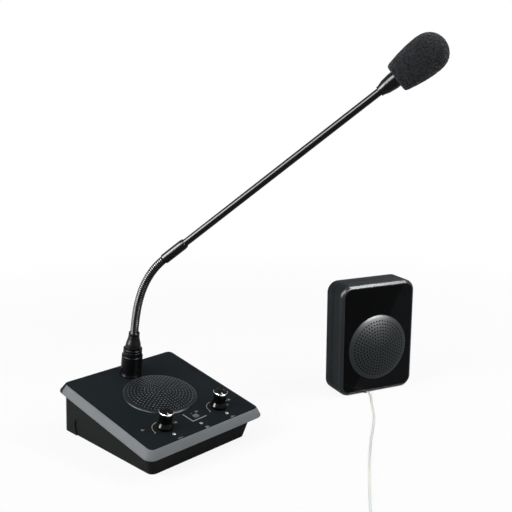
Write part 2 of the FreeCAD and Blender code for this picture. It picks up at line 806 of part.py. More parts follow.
def plug_shell():
    """The plug's metal shell, half of it in the collar."""
    inner = plug_radius - plug_wall
    return turned((inner, plug_bottom), (plug_radius, plug_bottom), (plug_radius, plug_top - plug_edge),
                  (plug_radius - plug_edge, plug_top), (inner, plug_top))


def plug_pins():
    """Insulating disc with the three pins."""
    disc = upright(plug_radius - plug_wall, plug_disc_bottom, plug_disc_top)
    for x, y in pin_places():
        disc = disc.fuse(upright(pin_radius, pin_reach, plug_disc_bottom + 1, x, y))
    return disc.removeSplitter()


def plug_boot():
    """The tapering rear of the plug, with its spigot in the shell."""
    inner = plug_radius - plug_wall
    swell = boot_base_radius - 0.24 * (boot_base_radius - boot_top_radius)
    mid = plug_top + 0.45 * (boot_top - plug_top)
    return turned((gooseneck_radius, plug_top - boot_spigot), (inner, plug_top - boot_spigot), (inner, plug_top),
                  ((swell, mid), (boot_top_radius, boot_top)), (gooseneck_radius, boot_top))


def neck_collar():
    """The ring that closes the boot round the gooseneck."""
    return turned((gooseneck_radius, boot_top), (neck_collar_radius, boot_top),
                  (neck_collar_radius, neck_top - neck_edge), (neck_collar_radius - neck_edge, neck_top),
                  (gooseneck_radius, neck_top))


# ---------------------------------------------------------------- gooseneck and boom
def boom_direction():
    """The way the boom points."""
    level = math.cos(math.radians(boom_elevation))
    heading = math.radians(boom_heading)
    return V(level * math.cos(heading), level * math.sin(heading), math.sin(math.radians(boom_elevation)))


def neck_direction(share):
    """The gooseneck's direction at a share of its length, turning from the panel's normal to the boom."""
    end = boom_direction()
    whole = panel_normal.getAngle(end)
    part = share ** gooseneck_ease
    mixed = panel_normal * math.sin(whole * (1 - part)) + end * math.sin(whole * part)
    return mixed.normalize()


def neck_points():
    """Foot of the gooseneck, its hinge points, and its end in the ferrule, with each run's direction."""
    foot = panel_place.multVec(V(0, socket_row, neck_top))
    shares = [0.25 / gooseneck_hinges]
    shares += [i / gooseneck_hinges for i in range(1, gooseneck_hinges)]
    shares += [1 - 0.25 / gooseneck_hinges]
    lengths = [0.5 * gooseneck_pitch] + [gooseneck_pitch] * (gooseneck_hinges - 1) + [0.5 * gooseneck_pitch]
    directions = [neck_direction(share) for share in shares]
    directions[0] = panel_normal
    directions[-1] = boom_direction()
    points = [foot]
    for direction, length in zip(directions, lengths):
        points.append(points[-1] + direction * length)
    return points, directions


def ball_end(z):
    """The ball of a joint centred at height z."""
    return Part.makeSphere(ball_radius, V(0, 0, z))


def gooseneck_link(length):
    """One link: socket round the hinge at 0, ball at the hinge at length."""
    body = upright(gooseneck_radius, groove_half, length - groove_half)
    body = body.cut(Part.makeSphere(socket_radius, V(0, 0, 0)))
    return body.fuse(ball_end(length)).removeSplitter()


def gooseneck_root(length):
    """The stub held in the collar, with the first ball."""
    body = upright(gooseneck_radius, -gooseneck_sunk, length - groove_half)
    return body.fuse(ball_end(length)).removeSplitter()


def gooseneck_end(length):
    """The last stub: socket round the last hinge, held in the ferrule."""
    body = upright(gooseneck_radius, groove_half, length + gooseneck_sunk)
    return body.cut(Part.makeSphere(socket_radius, V(0, 0, 0)))


def ferrule():
    """Barrel that joins the gooseneck to the boom tube."""
    mid = gooseneck_sunk
    tube_low = ferrule_length - tube_sunk
    return turned((gooseneck_radius, 0), (ferrule_radius - 0.4, 0), (ferrule_radius, 0.8),
                  (ferrule_radius, ferrule_length - ferrule_edge), (ferrule_end_radius, ferrule_length),
                  (tube_radius, ferrule_length), (tube_radius, tube_low), (tube_radius - tube_wall, tube_low),
                  (tube_radius - tube_wall, mid), (gooseneck_radius, mid))


def boom_tube():
    """The straight tube of the boom."""
    return ring(tube_radius, tube_radius - tube_wall, ferrule_length - tube_sunk, ferrule_length + tube_length)


def mic_housing():
    """Flared cup at the end of the boom that holds the capsule."""
    start = ferrule_length + tube_length - 4
    cone = start + mic_cone_length
    end = start + mic_length
    swell = mic_neck_radius + 0.72 * (mic_radius - mic_neck_radius)
    inner = mic_radius - mic_wall
    return turned((tube_radius, start), (mic_neck_radius, start), (mic_neck_radius, start + 1.5),
                  ((swell, start + 0.5 * mic_cone_length), (mic_radius, cone)), (mic_radius, end), (inner, end),
                  (inner, cone + 2), (tube_radius, start + 4))


def mic_capsule():
    """The electret capsule in the housing's mouth."""
    end = ferrule_length + tube_length - 4 + mic_length
    inner = mic_radius - mic_wall
    high = end - capsule_recess
    body = upright(inner, high - capsule_height, high)
    return body.cut(ring(inner + 1, capsule_radius, high - 1.0, high + 1))


def foam_start():
    """Height of the foam's base along the boom."""
    return ferrule_length + tube_length - 4 + mic_cone_length + foam_gap


def foam_windscreen():
    """Pear-shaped windscreen pulled over the microphone housing."""
    low = foam_start()
    pocket = ferrule_length + tube_length - 4 + mic_length
    high = low + foam_length
    widest = high - foam_radius
    bend = math.sqrt(0.5) * foam_radius
    slope_mid = 0.5 * (low + foam_shoulder + widest)
    slope_radius = 0.5 * (foam_shoulder_radius + foam_radius) + foam_belly
    base_mid = foam_base_radius + 0.7 * foam_base_round
    return turned((mic_radius, low), (foam_base_radius, low),
                  ((base_mid, low + 0.3 * foam_base_round), (foam_base_radius + foam_base_round, low + foam_base_round)),
                  (foam_shoulder_radius, low + foam_shoulder), ((slope_radius, slope_mid), (foam_radius, widest)),
                  ((bend, widest + bend), (0, high)), (0, pocket), (mic_radius, pocket))


# ---------------------------------------------------------------- rear fittings, drawn in the rear frame
def rear_sockets():
    """Two audio jacks and the supply jack, each a flanged bush with its contact hole."""
    solids = []
    for x, bore, flange, body in zip(jack_xs, jack_bores, jack_flanges, jack_bodies):
        bush = upright(flange, 0, jack_flange_height).fuse(upright(body, -jack_depth, 0))
        bush = bush.removeSplitter().cut(upright(bore, jack_flange_height - jack_bore_depth, 5))
        solids.append(shifted(bush, x, rear_row))
    return Part.makeCompound(solids)


def switch_frame():
    """Rocker switch housing, clipped into the back wall."""
    half_fw = 0.5 * rocker_frame_width
    half_fh = 0.5 * rocker_frame_height
    half_bw = 0.5 * rocker_body_width
    half_bh = 0.5 * rocker_body_height
    body = rounded_block(-half_fw, half_fw, -half_fh, half_fh, 1.5, 0, rocker_flange)
    body = body.fuse(rounded_block(-half_bw, half_bw, -half_bh, half_bh, 0.8, -rocker_body_depth, 0))
    half_w = 0.5 * rocker_width + rocker_gap
    half_h = rocker_radius + rocker_gap
    body = body.cut(rounded_block(-half_w, half_w, -half_h, half_h, 0.4,
                                  -rocker_pivot_depth - rocker_radius - rocker_gap, 5))
    pin = rocker_pin_length + rocker_gap + 0.3 + half_w
    hole = Part.makeCylinder(rocker_pin_radius + rocker_pin_fit, 2 * pin, V(-pin, 0, -rocker_pivot_depth), X_AXIS)
    return body.removeSplitter().cut(hole)


def power_rocker():
    """The rocker with its pivot stubs, tipped to one side."""
    half_w = 0.5 * rocker_width
    drum = Part.makeCylinder(rocker_radius, rocker_width, V(-half_w, 0, 0), X_AXIS)
    reach = rocker_radius + 1
    outline = [V(-half_w - 1, -reach, rocker_rise), V(-half_w - 1, 0, rocker_waist), V(-half_w - 1, reach, rocker_rise),
               V(-half_w - 1, reach, reach + 1), V(-half_w - 1, -reach, reach + 1), V(-half_w - 1, -reach, rocker_rise)]
    notch = Part.Face(Part.makePolygon(outline)).extrude(V(rocker_width + 2, 0, 0))
    body = drum.cut(notch)
    pin = half_w + rocker_gap + rocker_pin_length
    body = body.fuse(Part.makeCylinder(rocker_pin_radius, 2 * pin, V(-pin, 0, 0), X_AXIS)).removeSplitter()
    body.rotate(V(0, 0, 0), X_AXIS, -rocker_tilt)
    return shifted(body, 0, 0, -rocker_pivot_depth)


# ---------------------------------------------------------------- window unit
def unit_block(inset, y_low, y_high):
    """A rounded block of the unit's front outline, between two depths."""
    half = 0.5 * unit_width - inset
    corner = max(unit_corner - inset, 1.0)
    face = Part.Face(rounded_wire(-half, half, inset, unit_height - inset, corner, 0))
    block = face.extrude(V(0, 0, y_high - y_low))
    # The outline's second axis turns up to Z, and the extrusion runs back along +Y.
    block.rotate(V(0, 0, 0), X_AXIS, 90)
    return shifted(block, 0, y_high)


def depthwise(radius, y_low, y_high, x, z):
    """A cylinder along Y."""
    return Part.makeCylinder(radius, y_high - y_low, V(x, y_low, z), V(0, 1, 0))


def face_on(shape, z, y=0.0):
    """A shape drawn face up about Z, turned to face the front at height z and depth y."""
    turned_shape = shape.copy()
    turned_shape.rotate(V(0, 0, 0), X_AXIS, 90)
    return shifted(turned_shape, 0, y, z)


def post_places():
    """The unit's four screw posts: x, z."""
    reach = 0.5 * unit_width - post_inset
    return [(x, z) for x in (-reach, reach) for z in (post_inset, unit_height - post_inset)]


def edge_loop(shape, y_side):
    """The edges that lie wholly at one depth."""
    found = []
    for edge in shape.Edges:
        box = edge.BoundBox
        if abs(box.YMin - y_side) < 1e-4 and abs(box.YMax - y_side) < 1e-4:
            found.append(edge)
    return found


def window_bezel():
    """The front shell: rounded front edge, seat for the glossy panel, speaker mouth, screw posts."""
    shell = unit_block(0, 0, bezel_depth)
    shell = shell.makeFillet(unit_edge, edge_loop(shell, 0))
    shell = shell.cut(unit_block(unit_edge, -1, window_panel_thickness))
    shell = shell.cut(unit_block(unit_wall, window_panel_thickness + bezel_front, bezel_depth + 1))
    seat = window_panel_thickness + bezel_front
    for x, z in post_places():
        shell = shell.fuse(depthwise(post_radius, seat - 0.5, bezel_depth, x, z))
    shell = shell.fuse(depthwise(window_mic_radius + window_mic_cup, seat - 0.5, seat + window_mic_depth - 1,
                                 0, window_mic_z)).removeSplitter()
    shell = shell.cut(depthwise(window_speaker_opening, -1, seat + 1, 0, window_grille_z))
    shell = shell.cut(depthwise(window_mic_radius, seat - 1, seat + window_mic_depth, 0, window_mic_z))
    shell = shell.cut(depthwise(window_mic_hole, -1, seat, 0, window_mic_z))
    for x, z in post_places():
        shell = shell.cut(depthwise(screw_radius + thread_fit, bezel_depth - screw_bite - 1, bezel_depth + 1, x, z))
    return placed(shell.cut(grommet_block(fit_gap)), window_place)


def window_panel():
    """The glossy front panel, let into the bezel."""
    panel = unit_block(unit_edge + fit_gap, 0, window_panel_thickness)
    panel = panel.cut(depthwise(window_grille_radius + window_grille_gap, -1, 5, 0, window_grille_z))
    return placed(panel.cut(depthwise(window_mic_hole, -1, 5, 0, window_mic_z)), window_place)


def window_grille():
    """The domed grille in the panel's round opening, seated on the bezel."""
    dome = domed_grille(window_grille_radius, window_panel_thickness, window_grille_rise, grille_wall)
    return placed(face_on(dome, window_grille_z, window_panel_thickness), window_place)


def keyhole(z):
    """One keyhole: round entry, slot above it."""
    y_low = unit_depth - unit_wall - 1
    entry = depthwise(keyhole_radius, y_low, unit_depth + 1, 0, z)
    slot = Part.makeBox(2 * keyhole_slot, unit_wall + 2, keyhole_rise, V(-keyhole_slot, y_low, z))
    return entry.fuse(slot).fuse(depthwise(keyhole_slot, y_low, unit_depth + 1, 0, z + keyhole_rise))


def keyhole_heights():
    """Heights of the two keyholes' round entries."""
    middle = 0.5 * unit_height
    return (middle - 0.5 * keyhole_spread, middle + 0.5 * keyhole_spread)


def window_back_cover():
    """The rear shell with keyholes, screw posts and their countersinks."""
    shell = unit_block(0, bezel_depth, unit_depth)
    shell = shell.makeFillet(unit_back_edge, edge_loop(shell, unit_depth))
    shell = shell.cut(unit_block(unit_wall, bezel_depth - 1, unit_depth - unit_wall))
    for x, z in post_places():
        shell = shell.fuse(depthwise(post_radius, bezel_depth, unit_depth - 1, x, z))
    shell = shell.removeSplitter()
    for x, z in post_places():
        shell = shell.cut(depthwise(screw_radius + fit_gap, bezel_depth - 1, unit_depth + 1, x, z))
        shell = shell.cut(depthwise(screw_head_radius + fit_gap, unit_depth - screw_sink - screw_head_height,
                                    unit_depth + 1, x, z))
    for z in keyhole_heights():
        shell = shell.cut(keyhole(z))
    return placed(shell, window_place)


def window_screws():
    """Four screws from the back into the bezel's posts."""
    screws = []
    high = unit_depth - screw_sink
    long = screw_slot
    thin = screw_slot_width
    for x, z in post_places():
        head = depthwise(screw_head_radius, high - screw_head_height, high, x, z)
        shank = depthwise(screw_radius, bezel_depth - screw_bite, high, x, z)
        slot = Part.makeBox(long, 1, thin, V(x - 0.5 * long, high - thin, z - 0.5 * thin))
        cross = Part.makeBox(thin, 1, long, V(x - 0.5 * thin, high - thin, z - 0.5 * long))
        screws.append(head.fuse(shank).cut(slot).cut(cross).removeSplitter())
    return placed(Part.makeCompound(screws), window_place)


def adhesive_pads():
    """Two foam tape pads on the back cover."""
    middle = 0.5 * unit_height
    pads = []
    for z in (middle - 0.5 * pad_spread, middle + 0.5 * pad_spread):
        pad = rounded_block(-0.5 * pad_width, 0.5 * pad_width, -0.5 * pad_height, 0.5 * pad_height, 2, 0,
                            pad_thickness)
        pad.rotate(V(0, 0, 0), X_AXIS, -90)
        pads.append(shifted(pad, 0, unit_depth, z))
    return placed(Part.makeCompound(pads), window_place)


def window_microphone():
    """The electret capsule in its cup behind the small hole."""
    seat = window_panel_thickness + bezel_front
    body = depthwise(window_mic_radius, seat - 1 + 0.05, seat + window_mic_depth, 0, window_mic_z)
    return placed(body, window_place)


def window_speaker_piece(shape):
    """A speaker piece, face forward behind the bezel's front wall."""
    return placed(face_on(shape, window_grille_z, window_panel_thickness + bezel_front), window_place)


def grommet_block(gap):
    """The rubber bush in the bezel's lower edge, round-topped."""
    half = 0.5 * grommet_width + gap
    high = grommet_height + gap
    wire = rounded_wire(grommet_x - half, grommet_x + half, -grommet_height, high, 2.0 + gap, 0)
    block = Part.Face(wire).extrude(V(0, 0, grommet_back - grommet_front + 2 * gap))
    block.rotate(V(0, 0, 0), X_AXIS, 90)
    block = shifted(block, 0, grommet_back + gap)
    keep = Part.makeBox(unit_width, 2 * unit_depth, unit_height, V(grommet_x - 0.5 * unit_width, -unit_depth, -gap))
    block = block.common(keep)
    if gap > 0:
        # The slot for the bush also opens the edge in front of it.
        mouth = Part.makeBox(2 * half, grommet_front + 2, high, V(grommet_x - half, -1, -gap))
        block = block.fuse(mouth).removeSplitter()
    return block


def cord_grommet():
    """The bush that the speaker lead comes out of."""
    lift = Part.makeBox(unit_width, 2 * unit_depth, unit_height, V(grommet_x - 0.5 * unit_width, -unit_depth, 0.05))
    return placed(grommet_block(0).common(lift), window_place)


# ---------------------------------------------------------------- speaker lead
def cord_exit():
    """Where the lead leaves the grommet, and the way out."""
    start = window_place.multVec(V(grommet_x, grommet_front, cord_rest))
    return start, window_place.Rotation.multVec(V(0, -1, 0))


def coil_entry():
    """Tangent point of the lead on the outermost turn, its heading there, and the coil's centre."""
    heading = math.radians(coil_heading)
    way = V(math.cos(heading), math.sin(heading), 0)
    last = V(cord_route[-1][0], cord_route[-1][1], cord_rest)
    tangent_point = last + way * (coil_last_run + coil_lead_in)
    left = V(-way.y, way.x, 0)
    return tangent_point, way, tangent_point + left * coil_outer_turn


def cord_points():
    """Every turning point of the laid lead, from the grommet to the coil's straight lead-in."""
    start, out = cord_exit()
    tangent_point, way, _ = coil_entry()
    laid = [V(x, y, cord_rest) for x, y in cord_route]
    return [start, start + out * cord_exit_run] + laid + [tangent_point - way * coil_lead_in]


def cord_tube():
    """The laid stretch: straight runs joined by tangent arcs."""
    points = cord_points()
    edges = []
    here = points[0]
    radii = []
    for before, corner, after in zip(points, points[1:], points[2:]):
        into = (corner - before).normalize()
        out = (after - corner).normalize()
        turn = into.getAngle(out)
        trim = cord_corner_share * min((corner - before).Length, (after - corner).Length)
        radius = trim / math.tan(0.5 * turn)
        radii.append(round(radius, 1))
        arc_start = corner - into * trim
        arc_end = corner + out * trim
        to_middle = (out - into).normalize()
        middle = corner + to_middle * (radius / math.cos(0.5 * turn) - radius)
        edges.append(Part.LineSegment(here, arc_start).toShape())
        edges.append(Part.Arc(arc_start, middle, arc_end).toShape())
        here = arc_end
    edges.append(Part.LineSegment(here, points[-1]).toShape())
    path = Part.Wire(edges)
    first = (points[1] - points[0]).normalize()
    section = Part.Wire([Part.Circle(points[0], first, cord_radius).toShape()])
    tube = path.makePipeShell([section], True, True)
    expected = math.pi * cord_radius ** 2 * path.Length
    print("lead: bend radii", radii, "laid length", round(path.Length, 1),
          "volume over section x length", round(tube.Volume / expected, 4))
    return tube


def coil_top():
    """Height of the coil's flat top."""
    return cord_rest + (coil_layers - 1) * 2 * cord_radius + cord_radius + coil_slack


def cord_coil():
    """The put-away turns as one ring, with the straight stretch that runs into them."""
    tangent_point, way, centre = coil_entry()
    half_lead = cord_radius + coil_slack
    body = ring(coil_outer_turn + half_lead, coil_inner_turn - half_lead, cord_rest - half_lead, coil_top(),
                centre.x, centre.y)
    lead_in = Part.makeCylinder(cord_radius, coil_lead_in, tangent_point - way * coil_lead_in, way)
    return body.fuse(lead_in).removeSplitter()


def cord_plug():
    """The lead's jack plug, lying on the coil."""
    centre = coil_entry()[2]
    angle = math.radians(plug_seat_angle)
    seat = centre + V(math.cos(angle), math.sin(angle), 0) * plug_seat_radius
    rear = V(seat.x, seat.y, coil_top() + 0.02 + jack_plug_body_radius)
    way = V(-math.sin(angle), math.cos(angle), 0)
    body_start = jack_plug_relief_length
    body_end = body_start + jack_plug_body_length
    tip = body_end + jack_plug_tip_length
    relief_small = cord_radius + 0.3
    body = turned((0, 0), (relief_small, 0), (jack_plug_relief_radius, body_start),
                  (jack_plug_body_radius - 0.6, body_start), (jack_plug_body_radius, body_start + 0.8),
                  (jack_plug_body_radius, body_end - 0.6), (jack_plug_body_radius - 0.8, body_end),
                  (jack_plug_tip_radius, body_end), (jack_plug_tip_radius, tip - 2.6),
                  (jack_plug_tip_radius - 0.5, tip - 2.0), (jack_plug_tip_radius - 0.1, tip - 1.3), (0, tip))
    return placed(body, along(rear, way))


# ---------------------------------------------------------------- assembly
def build_desk():
    """Every fixed piece of the desk unit."""
    rear = rear_frame()
    speaker_face = -plate_thickness
    nodes = {
        "lower_case": lower_case(),
        "trim_frame": trim_frame(),
        "top_plate": top_plate(),
        "ballast_plate": ballast_plate(),
        "rubber_feet": rubber_feet(),
        "case_screws": case_screws(),
        "desk_grille": at_panel(domed_grille(grille_radius, grille_edge, grille_rise, grille_wall), 0, grille_row),
        "desk_speaker_frame": at_panel(speaker_frame(speaker_flange, speaker_opening, speaker_basket_depth,
                                                     speaker_back_radius, speaker_face), 0, grille_row),
        "desk_speaker_cone": at_panel(speaker_cone(speaker_opening, speaker_basket_depth, speaker_face),
                                      0, grille_row),
        "desk_speaker_magnet": at_panel(speaker_magnet(speaker_magnet_radius, speaker_magnet_height, speaker_face,
                                                       speaker_basket_depth), 0, grille_row),
        "circuit_board": at_panel(circuit_board()),
        "board_screws": at_panel(board_screws()),
        "volume_pots": Part.makeCompound([at_panel(volume_pot(), x, knob_row) for x in (-knob_spread, knob_spread)]),
        "pot_nuts": Part.makeCompound([at_panel(pot_nut(), x, knob_row) for x in (-knob_spread, knob_spread)]),
        "button_switch": at_panel(button_switch(), button_x, button_row),
        "led_lenses": at_panel(led_lenses()),
        "socket_collar": at_panel(socket_collar(), 0, socket_row),
        "socket_insert": at_panel(socket_insert(), 0, socket_row),
        "socket_nut": at_panel(socket_nut(), 0, socket_row),
        "rear_sockets": placed(rear_sockets(), rear),
        "switch_frame": placed(shifted(switch_frame(), rocker_x, rear_row), rear),
    }
    return nodes


def build_controls():
    """The pieces that turn, press or rock."""
    nodes = {}
    for side, x in (("left", -knob_spread), ("right", knob_spread)):
        nodes[side + "_knob"] = at_panel(knob(), x, knob_row)
        nodes[side + "_knob_ring"] = at_panel(knob_ring(), x, knob_row)
        nodes[side + "_knob_shaft"] = at_panel(knob_shaft(), x, knob_row)
    nodes["mode_button"] = at_panel(mode_button(), button_x, button_row)
    nodes["power_rocker"] = placed(shifted(power_rocker(), rocker_x, rear_row), rear_frame())
    return nodes


def build_microphone():
    """Plug, gooseneck links and boom."""
    nodes = {
        "plug_shell": at_panel(plug_shell(), 0, socket_row),
        "plug_pins": at_panel(plug_pins(), 0, socket_row),
        "plug_boot": at_panel(plug_boot(), 0, socket_row),
        "neck_collar": at_panel(neck_collar(), 0, socket_row),
    }
    points, directions = neck_points()
    nodes["gooseneck_root"] = placed(gooseneck_root(0.5 * gooseneck_pitch), along(points[0], directions[0]))
    for number in range(1, gooseneck_hinges):
        place = along(points[number], directions[number])
        nodes["gooseneck_link_" + str(number)] = placed(gooseneck_link(gooseneck_pitch), place)
    nodes["gooseneck_end"] = placed(gooseneck_end(0.5 * gooseneck_pitch), along(points[-2], directions[-1]))
    boom = along(points[-1], directions[-1])
    nodes["ferrule"] = placed(ferrule(), boom)
    nodes["boom_tube"] = placed(boom_tube(), boom)
    nodes["mic_housing"] = placed(mic_housing(), boom)
    nodes["mic_capsule"] = placed(mic_capsule(), boom)
    nodes["foam_windscreen"] = placed(foam_windscreen(), boom)
    return nodes


def build_window_unit():
    """The outside unit."""
    nodes = {
        "window_bezel": window_bezel(),
        "window_panel": window_panel(),
        "window_grille": window_grille(),
        "window_back_cover": window_back_cover(),
        "window_speaker_frame": window_speaker_piece(speaker_frame(
            window_speaker_flange, window_speaker_opening, window_speaker_depth, window_speaker_back_radius, 0)),
        "window_speaker_cone": window_speaker_piece(speaker_cone(window_speaker_opening, window_speaker_depth, 0)),
        "window_speaker_magnet": window_speaker_piece(speaker_magnet(
            window_magnet_radius, window_magnet_height, 0, window_speaker_depth)),
        "window_microphone": window_microphone(),
        "window_screws": window_screws(),
        "adhesive_pads": adhesive_pads(),
        "cord_grommet": cord_grommet(),
    }
    return nodes


def build_cord():
    """The speaker lead: laid stretch, coil and plug."""
    return {"cord_tube": cord_tube(), "cord_coil": cord_coil(), "cord_plug": cord_plug()}


def middle_of_base(nodes):
    """The middle of the bottom of the box round a set of pieces."""
    box = Part.makeCompound(list(nodes.values())).optimalBoundingBox(False, False)
    return V(0.5 * (box.XMin + box.XMax), 0.5 * (box.YMin + box.YMax), box.ZMin)


object_nodes = {}
object_nodes.update(build_desk())
object_nodes.update(build_controls())
object_nodes.update(build_microphone())
object_nodes.update(build_window_unit())
origin = middle_of_base(object_nodes)
all_nodes = dict(object_nodes)
all_nodes.update(build_cord())

os.makedirs("parts", exist_ok=True)
for node_name, node_shape in all_nodes.items():
    finished = shifted(node_shape, -origin.x, -origin.y, -origin.z)
    if not finished.isValid():
        print("not valid:", node_name)
    finished.exportStep("parts/" + node_name + ".step")
print("coil centre", [round(value, 2) for value in coil_entry()[2]])
print("nodes", len(all_nodes), "origin", [round(value, 4) for value in origin])
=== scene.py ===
import json
import logging
import math
from dataclasses import dataclass, replace
from enum import Enum

import bmesh
import bpy
import numpy as np
from mathutils import Matrix


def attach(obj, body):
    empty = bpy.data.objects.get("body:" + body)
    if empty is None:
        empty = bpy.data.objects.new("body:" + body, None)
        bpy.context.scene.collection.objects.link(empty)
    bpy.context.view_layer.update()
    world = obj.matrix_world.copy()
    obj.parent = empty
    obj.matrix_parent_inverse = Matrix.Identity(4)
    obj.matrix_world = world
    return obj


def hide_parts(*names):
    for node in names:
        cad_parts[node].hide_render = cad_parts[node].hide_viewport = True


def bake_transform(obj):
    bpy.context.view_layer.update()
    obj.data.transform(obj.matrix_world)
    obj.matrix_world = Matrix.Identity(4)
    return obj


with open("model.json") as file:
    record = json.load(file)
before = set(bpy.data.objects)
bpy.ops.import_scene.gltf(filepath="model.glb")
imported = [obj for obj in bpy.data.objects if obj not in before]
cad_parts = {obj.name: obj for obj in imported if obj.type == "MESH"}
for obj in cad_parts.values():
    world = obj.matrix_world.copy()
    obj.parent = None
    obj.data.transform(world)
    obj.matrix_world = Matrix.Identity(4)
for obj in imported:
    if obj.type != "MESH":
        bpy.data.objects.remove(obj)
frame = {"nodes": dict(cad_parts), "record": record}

LOG = logging.getLogger("intercom")
MM = 0.001
FULL_TURN = 2 * math.pi
Array = np.ndarray
Flat = tuple[float, float]
Point = tuple[float, float, float]
Colour = tuple[float, float, float, float]


# ------------------------------------------------------------------ places and outlines
def as_point(values: Array) -> Point:
    """Three numbers as a plain tuple."""
    return tuple(float(value) for value in values)


def unit(vectors: Array) -> Array:
    """Vectors divided by their own lengths, along the last axis."""
    return vectors / np.linalg.norm(vectors, axis=-1, keepdims=True)


@dataclass(frozen=True)
class Place:
    """A local frame in the part: an origin in millimetres and three unit axes."""

    origin: Point = (0.0, 0.0, 0.0)
    axes: tuple[Point, Point, Point] = ((1.0, 0.0, 0.0), (0.0, 1.0, 0.0), (0.0, 0.0, 1.0))

    def at(self, points: Array) -> Array:
        """Local points in millimetres as points of the part in metres: origin plus each share of an axis.

        Args:
            points: Array whose last axis is x, y, z in millimetres.

        Returns:
            The same array in the part's frame, in metres.
        """
        return (np.asarray(self.origin) + np.asarray(points, float) @ np.asarray(self.axes)) * MM

    def moved(self, x: float = 0.0, y: float = 0.0, z: float = 0.0) -> "Place":
        """The same axes at a local point."""
        return replace(self, origin=as_point(self.at(np.array([x, y, z])) / MM))

    def tipped(self, turn: Array) -> "Place":
        """The same origin with axes given as the rows of a local turn."""
        return replace(self, axes=tuple(as_point(row) for row in turn @ np.asarray(self.axes)))


def standing(origin: Array, direction: Array, side: Array) -> Place:
    """A frame whose Z runs along a direction and whose X lies as near as it can to a side.

    Args:
        origin: Its origin in millimetres, in the part.
        direction: The way Z runs.
        side: The way X leans.

    Returns:
        The frame: X is the side less its share along Z, Y is Z cross X.
    """
    z = unit(direction)
    x = unit(side - z * (side @ z))
    return Place(as_point(origin), (as_point(x), as_point(np.cross(z, x)), as_point(z)))


def rounded(corners: list[Point], closed: bool = False, steps: int = 6) -> Array:
    """An outline whose corners are rounded.

    A corner with a radius becomes an arc that touches both its sides. Its centre lies on the corner's
    bisector, at the radius over the sine of half the corner's angle, and its points are that centre plus
    the two end spokes mixed by the sine rule.

    Args:
        corners: Corner places and their radii: a, b, radius.
        closed: Whether the last corner joins the first.
        steps: Parts of each arc.

    Returns:
        Points of shape (n, 2).
    """
    places = np.array([corner[:2] for corner in corners], float)
    share = np.linspace(0, 1, steps + 1)[:, None]
    ends = () if closed else (0, len(corners) - 1)
    found = []
    for index, (_, _, radius) in enumerate(corners):
        here = places[index]
        if radius <= 0 or index in ends:
            found.append(here[None])
            continue
        back, on = places[index - 1] - here, places[(index + 1) % len(corners)] - here
        room = 0.49 * min(np.linalg.norm(back), np.linalg.norm(on))
        back, on = unit(back), unit(on)
        half = 0.5 * math.acos(max(-1.0, min(1.0, float(back @ on))))
        radius = min(radius, room * math.tan(half))
        reach = radius / math.tan(half)
        middle = here + unit(back + on) * radius / math.sin(half)
        first, last = here + back * reach - middle, here + on * reach - middle
        whole = math.pi - 2 * half
        spokes = np.sin((1 - share) * whole) * first + np.sin(share * whole) * last
        found.append(middle + spokes / math.sin(whole))
    return np.concatenate(found)


def frame_loop(half_wide: float, half_high: float, radius: float, steps: int) -> Array:
    """A rounded rectangle about the middle, as corner centres plus a quarter circle each.

    Args:
        half_wide: Half the size along the first axis.
        half_high: Half the size along the second.
        radius: Corner radius.
        steps: Parts of each quarter.

    Returns:
        Points of shape (4 * (steps + 1), 2), anticlockwise.
    """
    turn = (np.arange(4)[:, None] + np.linspace(0, 1, steps + 1)[None]) * 0.5 * math.pi
    signs = np.array([[1, 1], [-1, 1], [-1, -1], [1, -1]], float)
    centres = signs * [half_wide - radius, half_high - radius]
    points = centres[:, None] + radius * np.stack([np.cos(turn), np.sin(turn)], -1)
    return points.reshape(-1, 2)


def parabola(first: Array, corner: Array, last: Array, t: Array) -> Array:
    """A curve that leaves one point for a corner and reaches another from it.

    Its points are the three mixed by (1 - t) squared, 2 t (1 - t) and t squared.

    Args:
        first: Where it starts.
        corner: What it leaves for and arrives from.
        last: Where it ends.
        t: Shares of the way, of shape (n, 1).

    Returns:
        Points of shape (n, axes).
    """
    return (1 - t) ** 2 * first + 2 * t * (1 - t) * corner + t ** 2 * last


def cap_height(radius: float, rise: float, reach: Array) -> Array:
    """Height of a spherical cap over its rim: the sphere's own height less its rim's.

    Args:
        radius: Radius of the rim.
        rise: Height of the cap's middle over its rim.
        reach: Distances from the middle.

    Returns:
        The heights at those distances.
    """
    sphere = (radius ** 2 + rise ** 2) / (2 * rise)
    return np.sqrt(sphere ** 2 - np.asarray(reach, float) ** 2) - (sphere - rise)


def around(parts: int) -> Array:
    """Angles of a whole turn, the first left out at its end."""
    return np.linspace(0, FULL_TURN, parts, endpoint=False)


def turned(outline: Array, segments: int) -> Array:
    """An outline (radius, height) carried round Z: x and y are the radius times cosine and sine.

    Args:
        outline: Points of shape (n, 2).
        segments: Parts of the whole turn.

    Returns:
        Points of shape (n, segments, 3).
    """
    turn = around(segments)
    reach, height = outline[:, :1], outline[:, 1:]
    return np.stack([reach * np.cos(turn), reach * np.sin(turn), height + 0 * turn], -1)


# ------------------------------------------------------------------ meshes
def quads(rows: int, columns: int, wrap: bool = True) -> Array:
    """Faces between the rows of a grid of points.

    Args:
        rows: Rows of points.
        columns: Points in a row.
        wrap: Whether each row closes on itself.

    Returns:
        Point numbers, four to a face.
    """
    across = columns if wrap else columns - 1
    row, column = np.meshgrid(np.arange(rows - 1), np.arange(across), indexing="ij")
    on = (column + 1) % columns
    here, below = row * columns, (row + 1) * columns
    return np.stack([here + column, below + column, below + on, here + on], -1).reshape(-1, 4)


